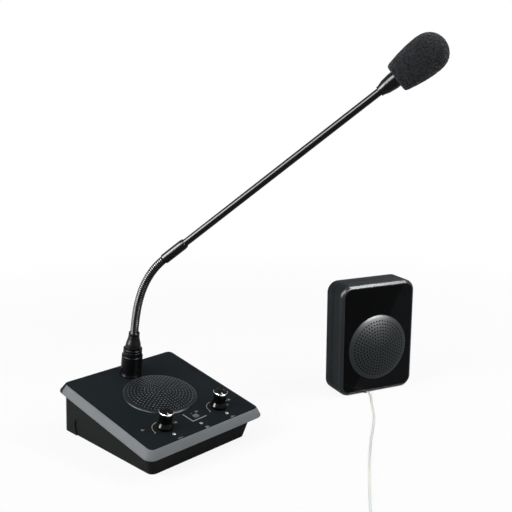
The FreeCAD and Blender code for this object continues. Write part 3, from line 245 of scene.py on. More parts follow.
class Shell:
    """Points in metres and the faces between them, gathered piece by piece."""

    def __init__(self) -> None:
        """Starts empty."""
        self.points: list[Array] = []
        self.faces: list[Array] = []
        self.kinds: list[Array] = []
        self.count = 0

    def add(self, points: Array, faces: list[Array], kind: int | Array = 0) -> "Shell":
        """Adds points with the groups of faces between them.

        Args:
            points: Array whose last axis is x, y, z in metres.
            faces: Groups of faces, each an array of point numbers.
            kind: Number of the finish, or one for each face of a group of that many, where other groups take
                the first.

        Returns:
            The shell itself.
        """
        flat = np.asarray(points, float).reshape(-1, 3)
        each = np.atleast_1d(kind)
        for group in faces:
            self.faces.append(group + self.count)
            self.kinds.append(each if len(each) == len(group) else np.full(len(group), each[0]))
        self.points.append(flat)
        self.count += len(flat)
        return self

    def skin(self, loops: Array, kind: int | Array = 0, caps: bool = True) -> "Shell":
        """Closed loops of points joined one to the next.

        Args:
            loops: Points of shape (loops, points, 3) in metres.
            kind: Number of the finish, or one for each face between the loops.
            caps: Whether a flat face closes each end.

        Returns:
            The shell itself.
        """
        rows, columns = loops.shape[:2]
        faces = [quads(rows, columns)]
        if caps:
            faces += [np.arange(columns)[None], (rows - 1) * columns + np.arange(columns)[::-1][None]]
        return self.add(loops, faces, kind)

    def lathe(self, outline: Array, place: Place, segments: int, ring: bool = False,
              kind: int | Array = 0) -> "Shell":
        """An outline (radius, height) turned about a frame's Z.

        Args:
            outline: Points of shape (n, 2).
            place: The frame.
            segments: Parts of the whole turn.
            ring: Whether the outline closes on itself.
            kind: Number of the finish, or one for each face.

        Returns:
            The shell itself.
        """
        rows = np.concatenate([outline, outline[:1]]) if ring else outline
        return self.add(place.at(turned(rows, segments)), [quads(len(rows), segments)], kind)

    def build(self, name: str, finishes: list["Finish"], body: str, crease: float = 32.0,
              mend: bool = True) -> bpy.types.Object:
        """Makes the object: doubles merged, faces turned outwards, shaded smooth below an angle.

        Args:
            name: The piece's name.
            finishes: Its finishes, by number.
            body: The body it rides on, or nothing where it is blended across a joint.
            crease: Degrees between faces above which an edge stays sharp.
            mend: Whether the shell is closed, so that its faces can be turned outwards.

        Returns:
            The object.
        """
        mesh = bpy.data.meshes.new(name)
        points = np.concatenate(self.points)
        mesh.vertices.add(len(points))
        mesh.vertices.foreach_set("co", points.astype(np.float32).ravel())
        sizes = np.concatenate([np.full(len(group), group.shape[1]) for group in self.faces])
        corners = np.concatenate([group.ravel() for group in self.faces])
        mesh.loops.add(len(corners))
        mesh.loops.foreach_set("vertex_index", corners.astype(np.int32))
        mesh.polygons.add(len(sizes))
        mesh.polygons.foreach_set("loop_start", (np.cumsum(sizes) - sizes).astype(np.int32))
        mesh.polygons.foreach_set("material_index", np.concatenate(self.kinds).astype(np.int32))
        mesh.update(calc_edges=True)
        work = bmesh.new()
        work.from_mesh(mesh)
        bmesh.ops.remove_doubles(work, verts=work.verts, dist=2e-7)
        bmesh.ops.dissolve_degenerate(work, edges=work.edges, dist=1e-8)
        if mend:
            bmesh.ops.recalc_face_normals(work, faces=work.faces)
        work.to_mesh(mesh)
        work.free()
        for finish in finishes:
            mesh.materials.append(finish.material())
        mesh.polygons.foreach_set("use_smooth", np.ones(len(mesh.polygons), bool))
        mesh.set_sharp_from_angle(angle=math.radians(crease))
        mesh.update()
        piece = bpy.data.objects.new(name, mesh)
        bpy.context.scene.collection.objects.link(piece)
        if body:
            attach(piece, body)
        LOG.info("%s: %d points on %s", name, len(mesh.vertices), body or "a joint")
        return piece


# ------------------------------------------------------------------ finishes
def linear(colour: str) -> Colour:
    """An sRGB hex value as linear colour: the low part is divided, the rest raised to 2.4."""
    srgb = np.array([int(colour[i:i + 2], 16) for i in (1, 3, 5)]) / 255
    low, high = srgb / 12.92, ((srgb + 0.055) / 1.055) ** 2.4
    return (*as_point(np.where(srgb <= 0.04045, low, high)), 1.0)


def shade(colour: str, share: float) -> Colour:
    """A hex colour in linear light, made lighter or darker by a share."""
    return (*(min(1.0, value * (1 + share)) for value in linear(colour)[:3]), 1.0)


def add(tree: bpy.types.NodeTree, kind: str, inputs: dict | None = None,
        **settings: object) -> bpy.types.Node:
    """Adds one node, with its settings and what each input holds or is linked to.

    Args:
        tree: The node tree.
        kind: Blender's name for the node.
        inputs: Values or output sockets, by input name or number.
        settings: The node's own properties.

    Returns:
        The node.
    """
    node = tree.nodes.new(kind)
    for key, value in settings.items():
        setattr(node, key, value)
    for key, value in (inputs or {}).items():
        if isinstance(value, bpy.types.NodeSocket):
            tree.links.new(value, node.inputs[key])
        else:
            node.inputs[key].default_value = value
    return node


@dataclass(frozen=True)
class Finish:
    """A surface: the material, its tone and gloss, and the grain that its making left."""

    name: str
    colour: str
    roughness: float
    metallic: float = 0.0
    specular: float = 0.5
    grain: float = 0.4            # mm across one grain
    depth: float = 0.01           # mm high
    drift: float = 0.08           # share by which the tone wanders
    drift_size: float = 18.0      # mm across one patch

    def material(self) -> bpy.types.Material:
        """The finish as a material, made once."""
        found = bpy.data.materials.get(self.name)
        if found:
            return found
        made = bpy.data.materials.new(self.name)
        made.use_nodes = True
        tree = made.node_tree
        tree.nodes.clear()
        shader = add(tree, "ShaderNodeBsdfPrincipled", {
            "Base Color": linear(self.colour), "Roughness": self.roughness, "Metallic": self.metallic,
            "Specular IOR Level": self.specular})
        add(tree, "ShaderNodeOutputMaterial", {"Surface": shader.outputs[0]})
        place = add(tree, "ShaderNodeTexCoord").outputs["Object"]
        self.dress(tree, shader, place)
        return made

    def dress(self, tree: bpy.types.NodeTree, shader: bpy.types.Node, place: bpy.types.NodeSocket) -> None:
        """Tone that wanders, gloss that wanders with it, and the grain's relief."""
        patch = add(tree, "ShaderNodeTexNoise", {
            "Vector": place, "Scale": 1 / (self.drift_size * MM), "Detail": 5.0, "Roughness": 0.6}).outputs[0]
        tone = add(tree, "ShaderNodeMix", {
            "Factor": patch, "A": shade(self.colour, -self.drift), "B": shade(self.colour, self.drift)},
            data_type="RGBA")
        tree.links.new(tone.outputs["Result"], shader.inputs["Base Color"])
        gloss = add(tree, "ShaderNodeMapRange", {
            "Value": patch, "To Min": self.roughness * 0.9, "To Max": min(1.0, self.roughness * 1.12)})
        tree.links.new(gloss.outputs[0], shader.inputs["Roughness"])
        fine = add(tree, "ShaderNodeTexNoise", {
            "Vector": place, "Scale": 1 / (self.grain * MM), "Detail": 3.0, "Roughness": 0.55}).outputs[0]
        relief = add(tree, "ShaderNodeBump", {"Height": fine, "Strength": 1.0, "Distance": self.depth * MM})
        tree.links.new(relief.outputs[0], shader.inputs["Normal"])


@dataclass(frozen=True)
class FoamFinish(Finish):
    """Open-cell polyurethane foam: dark cells between paler walls, the cells' darkness painted shade in their
    hollows.
    """

    cell: float = 1.3             # mm, where real cells are 0.8, so that they show
    patch: float = 2.4            # mm across one patch of deeper and shallower cells
    floor: float = -0.6           # share by which a cell's floor is darker: painted shade in its hollow
    wall: float = 1.2             # share by which its wall is paler

    def dress(self, tree: bpy.types.NodeTree, shader: bpy.types.Node, place: bpy.types.NodeSocket) -> None:
        """Cell walls pale, cell floors dark as painted shade, with relief from the same pattern and a faint
        sheen.
        """
        cells = add(tree, "ShaderNodeTexVoronoi", {
            "Vector": place, "Scale": 1 / (self.cell * MM), "Randomness": 1.0}, feature="F1")
        cloud = add(tree, "ShaderNodeTexNoise", {
            "Vector": place, "Scale": 1 / (self.patch * MM), "Detail": 6.0})
        both = add(tree, "ShaderNodeMath", {0: cells.outputs["Distance"], 1: cloud.outputs[0]},
                   operation="MULTIPLY")
        level = add(tree, "ShaderNodeMapRange", {
            "Value": both.outputs[0], "From Min": 0.05, "From Max": 0.42}).outputs[0]
        tone = add(tree, "ShaderNodeMix", {
            "Factor": level, "A": shade(self.colour, self.floor), "B": shade(self.colour, self.wall)},
            data_type="RGBA")
        tree.links.new(tone.outputs["Result"], shader.inputs["Base Color"])
        relief = add(tree, "ShaderNodeBump", {"Height": level, "Strength": 0.9, "Distance": self.depth * MM})
        tree.links.new(relief.outputs[0], shader.inputs["Normal"])
        shader.inputs["Sheen Weight"].default_value = 0.08
        shader.inputs["Sheen Roughness"].default_value = 0.6


@dataclass(frozen=True)
class PaintedReflectionFinish(Finish):
    """Black acrylic with a painted reflection: a lighter field to one side of a slanting line, standing in
    for a soft box mirrored in the gloss.
    """

    reflection_colour: str = "#111214"
    through: Point = (0.0, 0.0, 0.0)      # a point on the line, metres in the part
    across: Point = (1.0, 0.0, 0.0)       # unit way from black to the painted reflection
    soft: float = 0.05                    # mm to each side of the line

    def dress(self, tree: bpy.types.NodeTree, shader: bpy.types.Node, place: bpy.types.NodeSocket) -> None:
        """The side of the line from a dot product, softened over a tenth of a millimetre."""
        start = add(tree, "ShaderNodeVectorMath", {0: place, 1: self.through},
                    operation="SUBTRACT").outputs[0]
        side = add(tree, "ShaderNodeVectorMath", {0: start, 1: self.across}, operation="DOT_PRODUCT")
        level = add(tree, "ShaderNodeMapRange", {
            "Value": side.outputs["Value"], "From Min": -self.soft * MM, "From Max": self.soft * MM})
        dust = add(tree, "ShaderNodeTexNoise", {
            "Vector": place, "Scale": 1 / (self.drift_size * MM), "Detail": 4.0}).outputs[0]
        dark = add(tree, "ShaderNodeMix", {
            "Factor": dust, "A": shade(self.colour, -self.drift), "B": shade(self.colour, self.drift)},
            data_type="RGBA")
        tone = add(tree, "ShaderNodeMix", {
            "Factor": level.outputs[0], "A": dark.outputs["Result"], "B": linear(self.reflection_colour)},
            data_type="RGBA")
        tree.links.new(tone.outputs["Result"], shader.inputs["Base Color"])
        gloss = add(tree, "ShaderNodeMapRange", {
            "Value": dust, "To Min": self.roughness * 0.8, "To Max": self.roughness * 1.3})
        tree.links.new(gloss.outputs[0], shader.inputs["Roughness"])


@dataclass(frozen=True)
class TwinLeadFinish(Finish):
    """Clear PVC over two tinned cores: pale jacket with two grey threads under it."""

    core_colour: str = "#c6c5c0"

    def dress(self, tree: bpy.types.NodeTree, shader: bpy.types.Node, place: bpy.types.NodeSocket) -> None:
        """Grey where the lead's own map crosses a core, broken up by the strands' twist."""
        own = add(tree, "ShaderNodeUVMap", uv_map="lead").outputs[0]
        parts = add(tree, "ShaderNodeSeparateXYZ", {0: own})
        core = add(tree, "ShaderNodeMapRange", {
            "Value": parts.outputs["Y"], "From Min": 0.35, "From Max": 0.75}).outputs[0]
        twist = add(tree, "ShaderNodeTexWave", {
            "Vector": own, "Scale": 1.0, "Distortion": 1.5, "Detail": 2.0},
            bands_direction="X").outputs["Fac"]
        part = add(tree, "ShaderNodeMath", {0: core, 1: twist}, operation="MULTIPLY").outputs[0]
        tone = add(tree, "ShaderNodeMix", {
            "Factor": part, "A": linear(self.colour), "B": linear(self.core_colour)}, data_type="RGBA")
        tree.links.new(tone.outputs["Result"], shader.inputs["Base Color"])
        fine = add(tree, "ShaderNodeTexNoise", {"Vector": place, "Scale": 1 / (self.grain * MM)}).outputs[0]
        relief = add(tree, "ShaderNodeBump", {"Height": fine, "Strength": 0.6, "Distance": self.depth * MM})
        tree.links.new(relief.outputs[0], shader.inputs["Normal"])
        shader.inputs["Subsurface Weight"].default_value = 0.25
        shader.inputs["Subsurface Scale"].default_value = 0.8 * MM


# Most blacks here have a low specular level, so that the white room that they mirror leaves them black.

# Charcoal ABS, injection moulded with a fine spark texture: dull, slightly green, even.
CASE_ABS = Finish("Moulded_charcoal_ABS", "#1c1e1d", 0.62, specular=0.01, grain=0.35, depth=0.02, drift=0.10)
# Silver-grey paint on moulded ABS: an even mid grey, matt, with a fine speckle.
TRIM_PAINT = Finish("Silver_painted_ABS", "#7a7e81", 0.5, specular=0.01, grain=0.25, depth=0.006,
                    drift=0.05, drift_size=30.0)
# Powder-coated steel sheet, blue-grey: fine orange peel, low gloss.
PLATE_COAT = Finish("Blue_grey_powder_coat", "#13181b", 0.55, specular=0.01, grain=0.5, depth=0.012,
                    drift=0.10, drift_size=25.0)
# Bright steel, zinc plated, as sheet and screws: a cool metal glint, a little cloudy.
ZINC_STEEL = Finish("Zinc_plated_steel", "#a3a6a8", 0.34, metallic=1.0, grain=0.6, depth=0.004, drift=0.12)
# Black powder coat on pierced steel: dark with a slight sheen.
GRILLE_COAT = Finish("Dark_powder_coated_steel", "#111518", 0.36, specular=0.03, grain=0.3, depth=0.006,
                     drift=0.08)
# The same coat on the rolled rim, rubbed to a satin line.
ROLLED_RIM = Finish("Rolled_rim_satin_coat", "#1b2023", 0.28, specular=0.05, grain=0.3, depth=0.003,
                    drift=0.08)
# Bare cut edge of the pierced sheet: paler than the coat, as the punch leaves it, and paler still as painted
# highlight, for light caught on the holes' far walls.
PIERCED_EDGE = Finish("Bare_punched_steel_and_painted_highlight", "#696f73", 0.6, specular=0.02, grain=0.2, depth=0.004, drift=0.15)
# Steel-grey paint on the window speaker's dome: satin, with one broad soft highlight.
DOME_PAINT = Finish("Steel_grey_satin_paint", "#1f2527", 0.36, specular=0.10, grain=0.25, depth=0.004,
                    drift=0.06)
# Piano-black ABS from a polished tool: narrow clear highlights on near black.
GLOSS_BLACK = Finish("Polished_black_ABS", "#050606", 0.14, specular=0.09, grain=2.0, depth=0.002, drift=0.15)
# Fine-turned black top of the knob: no mirror, so it stays darker than the polished side.
KNOB_DISH = Finish("Fine_turned_black_ABS", "#08090a", 0.55, specular=0.01, grain=0.4, depth=0.004,
                   drift=0.2, drift_size=4.0)
# Chrome-plated ring: bright, clean.
CHROME = Finish("Chrome_plated_ABS", "#c9cbcd", 0.16, metallic=1.0, grain=1.0, depth=0.002, drift=0.06)
# Black anodised aluminium, fine turned: satin black.
BLACK_ANODISED = Finish("Black_anodised_aluminium", "#07080a", 0.26, specular=0.07, grain=0.3, depth=0.004,
                        drift=0.15, drift_size=8.0)
# Black thermoplastic rubber, moulded: satin black, a little softer than the metal beside it.
RUBBER_BOOT = Finish("Black_satin_elastomer", "#050607", 0.28, specular=0.08, grain=0.4, depth=0.006,
                     drift=0.15, drift_size=8.0)
# Wound steel, black oxide and oiled: dark with a glint along each turn.
BLACK_OXIDE = Finish("Black_oxide_wound_steel", "#060707", 0.24, specular=0.26, grain=0.3, depth=0.004,
                     drift=0.2, drift_size=5.0)
# Painted shade: near black with no gloss at all, in the gaps between turns of wire and in small punched
# holes, where shade falls.
SHADED_GAP = Finish("Painted_shade_gap", "#050505", 0.8, specular=0.0, grain=0.3, depth=0.004, drift=0.1,
                    drift_size=4.0)
# Black gloss lacquer on steel tube: long clean highlight.
BOOM_LACQUER = Finish("Black_lacquered_steel_tube", "#050606", 0.19, specular=0.09, grain=1.2, depth=0.003,
                      drift=0.12)
# Cut foam, never skinned: fully matt, speckled dark and grey, the dark specks painted shade in the cells.
WINDSCREEN_FOAM = FoamFinish("Open_cell_polyurethane_foam", "#1f2023", 0.95, specular=0.01, depth=0.25)
# Grey-green ABS, fine texture, a little smoother than the desk case.
WINDOW_ABS = Finish("Moulded_grey_green_ABS", "#1b1f20", 0.5, specular=0.02, grain=0.35, depth=0.01,
                    drift=0.08)
# The bezel's rounded front edge, from a polished tool: a clear highlight along it.
WINDOW_EDGE = Finish("Polished_grey_green_ABS", "#1b2022", 0.28, specular=0.12, grain=0.5, depth=0.003,
                     drift=0.08)
# Screen printing inks, one thin matt coat each, a little uneven: white, worn cream and grey.
PRINT_WHITE = Finish("Screen_printed_white_ink", "#e8e8e4", 0.6, specular=0.3, grain=0.2, depth=0.004,
                     drift=0.05, drift_size=3.0)
PRINT_CREAM = Finish("Screen_printed_cream_ink", "#8f8b76", 0.6, specular=0.3, grain=0.2, depth=0.004,
                     drift=0.12, drift_size=3.0)
PRINT_GREY = Finish("Screen_printed_grey_ink", "#6f7578", 0.6, specular=0.3, grain=0.2, depth=0.004,
                    drift=0.10, drift_size=3.0)
# Frosted acrylic, lamp off: pale grey with one small highlight.
LAMP_LENS = Finish("Frosted_clear_acrylic_lens", "#8f9698", 0.15, specular=0.5, grain=0.5, depth=0.006,
                   drift=0.1, drift_size=2.0)
# Moulded grey ABS key: satin, mid grey.
KEY_ABS = Finish("Grey_button_ABS", "#505456", 0.45, specular=0.1, grain=0.3, depth=0.008, drift=0.1,
                 drift_size=4.0)
# Moulded foot rubber: dull black with a coarse skin.
RUBBER = Finish("Black_foot_rubber", "#141414", 0.85, specular=0.2, grain=0.4, depth=0.02, drift=0.2,
                drift_size=6.0)
# Moulded nylon: satin black, plainer than the case.
SWITCH_PA = Finish("Black_switch_nylon", "#17181a", 0.45, specular=0.4, grain=0.25, depth=0.008, drift=0.1)
# Turned brass under nickel: warm, bright metal.
BRASS = Finish("Nickel_plated_brass", "#b8b29c", 0.28, metallic=1.0, grain=0.5, depth=0.003, drift=0.1)
# Pressed paper pulp: matt, soft black-brown, with fibres.
PAPER = Finish("Pressed_speaker_paper", "#1c1b1a", 0.9, specular=0.15, grain=0.5, depth=0.05, drift=0.2)
# Sintered ferrite: matt dark grey, grainy.
FERRITE = Finish("Ferrite_magnet", "#3a3a3c", 0.7, specular=0.3, grain=0.5, depth=0.02, drift=0.15)
# Glass-fibre board under solder mask: glossy green, with the weave just felt.
BOARD_FR4 = Finish("Green_solder_mask_FR4", "#1f5a34", 0.35, specular=0.45, grain=0.8, depth=0.01, drift=0.15)
# Closed-cell acrylic foam tape: off-white and matt.
TAPE_FOAM = Finish("White_acrylic_foam_tape", "#d8d8d2", 0.8, specular=0.2, grain=0.4, depth=0.04, drift=0.05)
# Extruded clear PVC: almost white, soft, with its two cores as grey threads.
LEAD_PVC = TwinLeadFinish("Clear_PVC_twin_lead", "#f2f2ee", 0.35, specular=0.4, grain=1.0, depth=0.01)

SLOT_FINISHES: dict[str, Finish] = {
    "case_plastic": CASE_ABS, "trim_metal": TRIM_PAINT, "panel_coating": PLATE_COAT, "steel": ZINC_STEEL,
    "foot_rubber": RUBBER, "grille_coating": GRILLE_COAT, "speaker_steel": ZINC_STEEL, "speaker_cone": PAPER,
    "magnet": FERRITE, "board": BOARD_FR4, "control_metal": BRASS, "knob_plastic": GLOSS_BLACK,
    "knob_ring": CHROME, "button_plastic": KEY_ABS, "switch_plastic": SWITCH_PA, "lamp_lens": LAMP_LENS,
    "collar_metal": BLACK_ANODISED, "contacts": BRASS, "gooseneck_metal": BLACK_OXIDE,
    "boom_coating": BOOM_LACQUER, "capsule_metal": ZINC_STEEL, "foam": WINDSCREEN_FOAM,
    "window_shell": WINDOW_ABS, "window_gloss": GLOSS_BLACK, "window_grille_coating": DOME_PAINT,
    "adhesive_foam": TAPE_FOAM, "lead_vinyl": LEAD_PVC, "jack_metal": BRASS,
}

# ------------------------------------------------------------------ the units' own frames
# All in millimetres. The desk unit's frame starts at the middle of its foot, the panel's at the plate's
# middle, and the window unit's at the middle of its front's lower edge.
DESK_AT = (-112.3464, 60.5384, 0.0)
PANEL_HEIGHT = 42.974
PANEL_TILT = math.radians(10.6)
WINDOW_AT = (240.7, -80.3, 0.0)       # from the desk unit
WINDOW_TURN = math.radians(-20.8)

# Places on the plate: rows run up the slope, spreads to each side.
KNOB_ROW, KNOB_SPREAD = -46.295, 32.9
LAMP_ROW, LAMP_SPREAD = -58.695, 32.2
SOCKET_ROW = 49.495
NECK_FOOT = 46.5                      # height of the neck ring's top over the plate

DESK = Place(DESK_AT)
PANEL = DESK.moved(z=PANEL_HEIGHT).tipped(np.array([
    [1, 0, 0],
    [0, math.cos(PANEL_TILT), math.sin(PANEL_TILT)],
    [0, -math.sin(PANEL_TILT), math.cos(PANEL_TILT)],
]))
WINDOW = DESK.moved(*WINDOW_AT).tipped(np.array([
    [math.cos(WINDOW_TURN), math.sin(WINDOW_TURN), 0],
    [-math.sin(WINDOW_TURN), math.cos(WINDOW_TURN), 0],
    [0, 0, 1],
]))
WINDOW_FACE = WINDOW.tipped(np.array([[1, 0, 0], [0, 0, 1], [0, -1, 0]]))  # X across, Y up, Z to the front


def direction_of(heading: float, elevation: float) -> Array:
    """The unit way at a heading from X and a height above level, in degrees."""
    turn, rise = math.radians(heading), math.radians(elevation)
    return np.array([math.cos(rise) * math.cos(turn), math.cos(rise) * math.sin(turn), math.sin(rise)])


def turned_piece(name: str, node: str, body: str, finish: Finish, outline: Array, place: Place,
                 segments: int) -> None:
    """One closed outline turned about a frame's Z, which stands for a node.

    Args:
        name: The piece's name.
        node: The node it replaces.
        body: The body it rides on.
        finish: Its finish.
        outline: Points (radius, height) of shape (n, 2).
        place: The frame.
        segments: Parts of the whole turn.
    """
    piece = Shell().lathe(outline, place, segments, ring=True).build(name, [finish], body)
    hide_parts(node)


# ------------------------------------------------------------------ desk unit
@dataclass
class TrimFrame:
    """The bevelled silver frame round the control plate."""

    half_wide: float = 71.0
    half_long: float = 73.555
    corner: float = 9.5
    least_corner: float = 1.5
    corner_loss: float = 0.83     # how much of an inset a corner's radius loses
    bevel: float = 5.1
    height: float = 8.3
    band: float = 12.2
    lip: float = 0.6
    plate: float = 2.0
    corner_steps: int = 10

    def loops(self, outline: Array) -> Array:
        """Rounded rectangles, one for each point of the outline: how far in from the edge, and how high."""
        rows = []
        for inset, height in outline:
            radius = max(self.least_corner, self.corner - self.corner_loss * inset)
            loop = frame_loop(self.half_wide - inset, self.half_long - inset, radius, self.corner_steps)
            rows.append(np.column_stack([loop, np.full(len(loop), height)]))
        return PANEL.at(np.stack(rows + rows[:1]))

    def build(self) -> None:
        """The frame's section carried round the panel.

        It is silver but for the back and its two corners, which are the first two quarters of each loop and
        the run between them.
        """
        inner = self.bevel + self.lip
        section = rounded([
            (self.band, -self.height, 0.0), (0.0, -self.height, 0.8), (self.bevel, 0.0, 0.6),
            (inner, 0.0, 0.15), (inner, -self.plate, 0.0), (self.band, -self.plate, 0.0)], steps=5)
        loops = self.loops(section)
        faces = quads(*loops.shape[:2])
        back = np.arange(len(faces)) % loops.shape[1] < 2 * self.corner_steps + 1
        shell = Shell().add(loops, [faces], back.astype(int))
        piece = shell.build("trim_frame_dressed", [TRIM_PAINT, CASE_ABS], "base")
        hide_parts("trim_frame")


@dataclass
class PiercedDome:
    """A domed loudspeaker grille: rings of punched holes inside a plain rolled rim."""

    name: str
    node: str
    slot: str
    place: Place
    radius: float
    edge: float                   # height of the dome's own rim over the plate
    rise: float
    finishes: tuple[Finish, Finish, Finish]      # sheet, holes and rim
    pitch: float
    hole: float                   # radius
    rings: int
    shoulder: float = 3.6         # width of the rolled rim
    sheet: float = 0.8
    burr: tuple[float, float] = (0.12, 0.14)     # width and depth of each hole's turned-in edge
    sides: int = 16

    def height(self, reach: Array) -> Array:
        """Height of the outer face at a distance from the middle."""
        return self.edge + cap_height(self.radius, self.rise, np.minimum(reach, self.radius))

    def cells(self, shell: Shell, number: int) -> None:
        """One ring of cells, each a patch of the sheet with a round hole.

        A cell's border is the unit square seen from the hole's middle, stretched to the ring's own height and
        angle. The hole is a circle inside it. Both are lifted onto the dome by how far out they lie.

        Args:
            shell: Where the cells go.
            number: The ring, counted from the middle hole.
        """
        count = max(1, 6 * number)
        turn = FULL_TURN * (np.arange(count) + 0.5 * (number % 2)) / count
        side = FULL_TURN * np.arange(self.sides) / self.sides
        stretch = 1 / np.maximum(np.abs(np.cos(side)), np.abs(np.sin(side)))
        middle = number * self.pitch
        if number:
            out = middle + 0.5 * self.pitch * stretch * np.cos(side)
            swung = turn[:, None] + math.pi / count * stretch * np.sin(side)
            border = np.stack([out * np.cos(swung), out * np.sin(swung)], -1)
        else:
            border = 0.5 * self.pitch * np.stack([np.cos(side), np.sin(side)], -1)[None]
        radial = np.stack([np.cos(turn), np.sin(turn)], -1)[:, None]
        sideways = np.stack([-np.sin(turn), np.cos(turn)], -1)[:, None]
        spoke = np.cos(side)[None, :, None] * radial + np.sin(side)[None, :, None] * sideways
        wide, deep = self.burr
        rings = []
        for flat, drop in ((border, 0.0), (middle * radial + (self.hole + wide) * spoke, 0.0),
                           (middle * radial + self.hole * spoke, deep),
                           (middle * radial + self.hole * spoke, self.sheet), (border, self.sheet)):
            level = self.height(np.linalg.norm(flat, axis=-1)) - drop
            rings.append(np.concatenate([flat, level[..., None]], -1))
        layers = np.roll(quads(5, self.sides)[:, ::-1], 1, axis=1).reshape(4, self.sides, 4)
        starts = (np.arange(count) * 5 * self.sides)[:, None, None]
        sheet_and_hole = [(layers[pair].reshape(-1, 4) + starts).reshape(-1, 4) for pair in ([0, 3], [1, 2])]
        faces = np.concatenate(sheet_and_hole)
        shell.add(self.place.at(np.stack(rings, 1)), [faces], np.repeat([0, 1], len(faces) // 2))

    def build(self) -> None:
        """The pierced field, then the rim as a turned outline that closes it.

        The shoulder is the parabola that leaves the dome along its own slope and meets the plate upright.
        """
        shell = Shell()
        for number in range(self.rings + 1):
            self.cells(shell, number)
        near_rim = self.radius - 0.05
        wall = self.radius - self.sheet
        reach = np.linspace((self.rings + 0.5) * self.pitch, self.radius - self.shoulder, 6)
        top = np.column_stack([reach, self.height(reach)])
        over = np.array([near_rim, float(self.height(near_rim))])
        t = np.linspace(0, 1, 14)[:, None]
        rim = parabola(top[-1], over, np.array([self.radius, 0.0]), t)
        foot = np.array([[wall, 0.0], [wall, float(self.height(self.radius - 1)) - self.sheet]])
        under = reach[::-1] - 0.02
        below = np.column_stack([under, self.height(under) - self.sheet])
        shell.lathe(np.concatenate([top, rim[1:], foot, below]), self.place, 192, kind=2)
        piece = shell.build(self.name, list(self.finishes), "base", crease=40, mend=False)
        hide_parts(self.node)


class Side(Enum):
    """The side of the panel that a volume knob is on, by its name in the part."""

    LEFT = "left"
    RIGHT = "right"


@dataclass
class VolumeKnob:
    """A waisted gloss knob with a flared skirt, a bright ring round its dark top, and a pointer."""

    side: Side
    gap: float = 0.4              # between the plate and the skirt
    height: float = 17.0
    skirt: float = 7.5
    waist: float = 5.95
    shoulder: float = 6.35
    crown: float = 6.8
    dish: float = 5.9             # radius of the sunk top
    sunk: float = 0.5
    hollow: float = 5.9           # radius of the open foot
    hollow_height: float = 4.0
    bore: float = 3.0
    cover: float = 2.4            # of plastic over the bore
    pointer: Flat = (-0.29, -0.956)
    pointer_span: Flat = (2.4, 5.7)
    pointer_half: float = 0.42
    segments: int = 96

    def body(self, place: Place, name: str) -> None:
        """The knob itself, whose first two rows of faces are the sunk top."""
        top = self.height
        outline = rounded([
            (0, top - self.sunk, 0), (self.dish, top - self.sunk, 0.1), (self.dish, top - 1.2, 0),
            (self.shoulder, top - 1.2, 0), (self.shoulder, top - 2.0, 0.4), (self.waist, 9.5, 6.0),
            (self.waist, 6.2, 2.5), (self.skirt, 2.6, 1.6), (self.skirt, 0.5, 0.9), (6.9, 0.0, 0.3),
            (self.hollow, 0.0, 0.1), (self.hollow, self.hollow_height, 0),
            (self.bore, self.hollow_height, 0)], steps=8)
        outline = np.concatenate([outline, [[self.bore, top - self.cover], [0.0, top - self.cover]]])
        sunk_top = np.repeat(np.arange(len(outline) - 1) < 2, self.segments).astype(int)
        shell = Shell().lathe(outline, place, self.segments, kind=sunk_top)
        knob = shell.build(self.side.value + "_knob_turned", [GLOSS_BLACK, KNOB_DISH], name)
        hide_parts(self.side.value + "_knob")

    def ring(self, place: Place, name: str) -> None:
        """An upright chrome band under a thin dark lid, which is painted dark reflection on the ring's top.
        """
        top = self.height
        inner = self.dish + 0.02
        band = rounded([
            (inner, top - 1.5, 0), (self.crown - 0.05, top - 1.5, 0.05), (self.crown, top - 0.3, 0.1),
            (self.crown - 0.22, top - 0.1, 0.05), (inner, top - 0.1, 0)], closed=True, steps=4)
        # The lid paints the ring's top dark, a painted reflection in place of the chrome's own.
        lid = rounded([
            (inner, top - 0.1, 0), (self.crown - 0.24, top - 0.1, 0), (self.crown - 0.3, top, 0.04),
            (inner, top, 0.04)], closed=True, steps=4)
        shell = Shell().lathe(band, place, self.segments, ring=True)
        shell.lathe(lid, place, self.segments, ring=True, kind=1)
        ring = shell.build(self.side.value + "_knob_bright_ring", [CHROME, KNOB_DISH], name)
        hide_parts(self.side.value + "_knob_ring")

    def mark(self, place: Place, name: str) -> None:
        """The pointer, an oblong of ink on the sunk top."""
        way = np.array(self.pointer)
        aside = np.array([-way[1], way[0]]) * self.pointer_half
        near, far = (way * reach for reach in self.pointer_span)
        corners = np.stack([near - aside, far - aside, far + aside, near + aside])
        floor = self.height - self.sunk
        levels = [np.column_stack([corners, np.full(4, z)]) for z in (floor - 0.02, floor + 0.08)]
        mark = Shell().skin(place.at(np.stack(levels))).build(
            self.side.value + "_knob_pointer", [PRINT_WHITE], name)

    def build(self) -> None:
        """Makes the body, the ring and the pointer's mark."""
        x = KNOB_SPREAD if self.side is Side.RIGHT else -KNOB_SPREAD
        place = PANEL.moved(x, KNOB_ROW, self.gap)
        name = self.side.value + "_volume_knob"
        self.body(place, name)
        self.ring(place, name)
        self.mark(place, name)


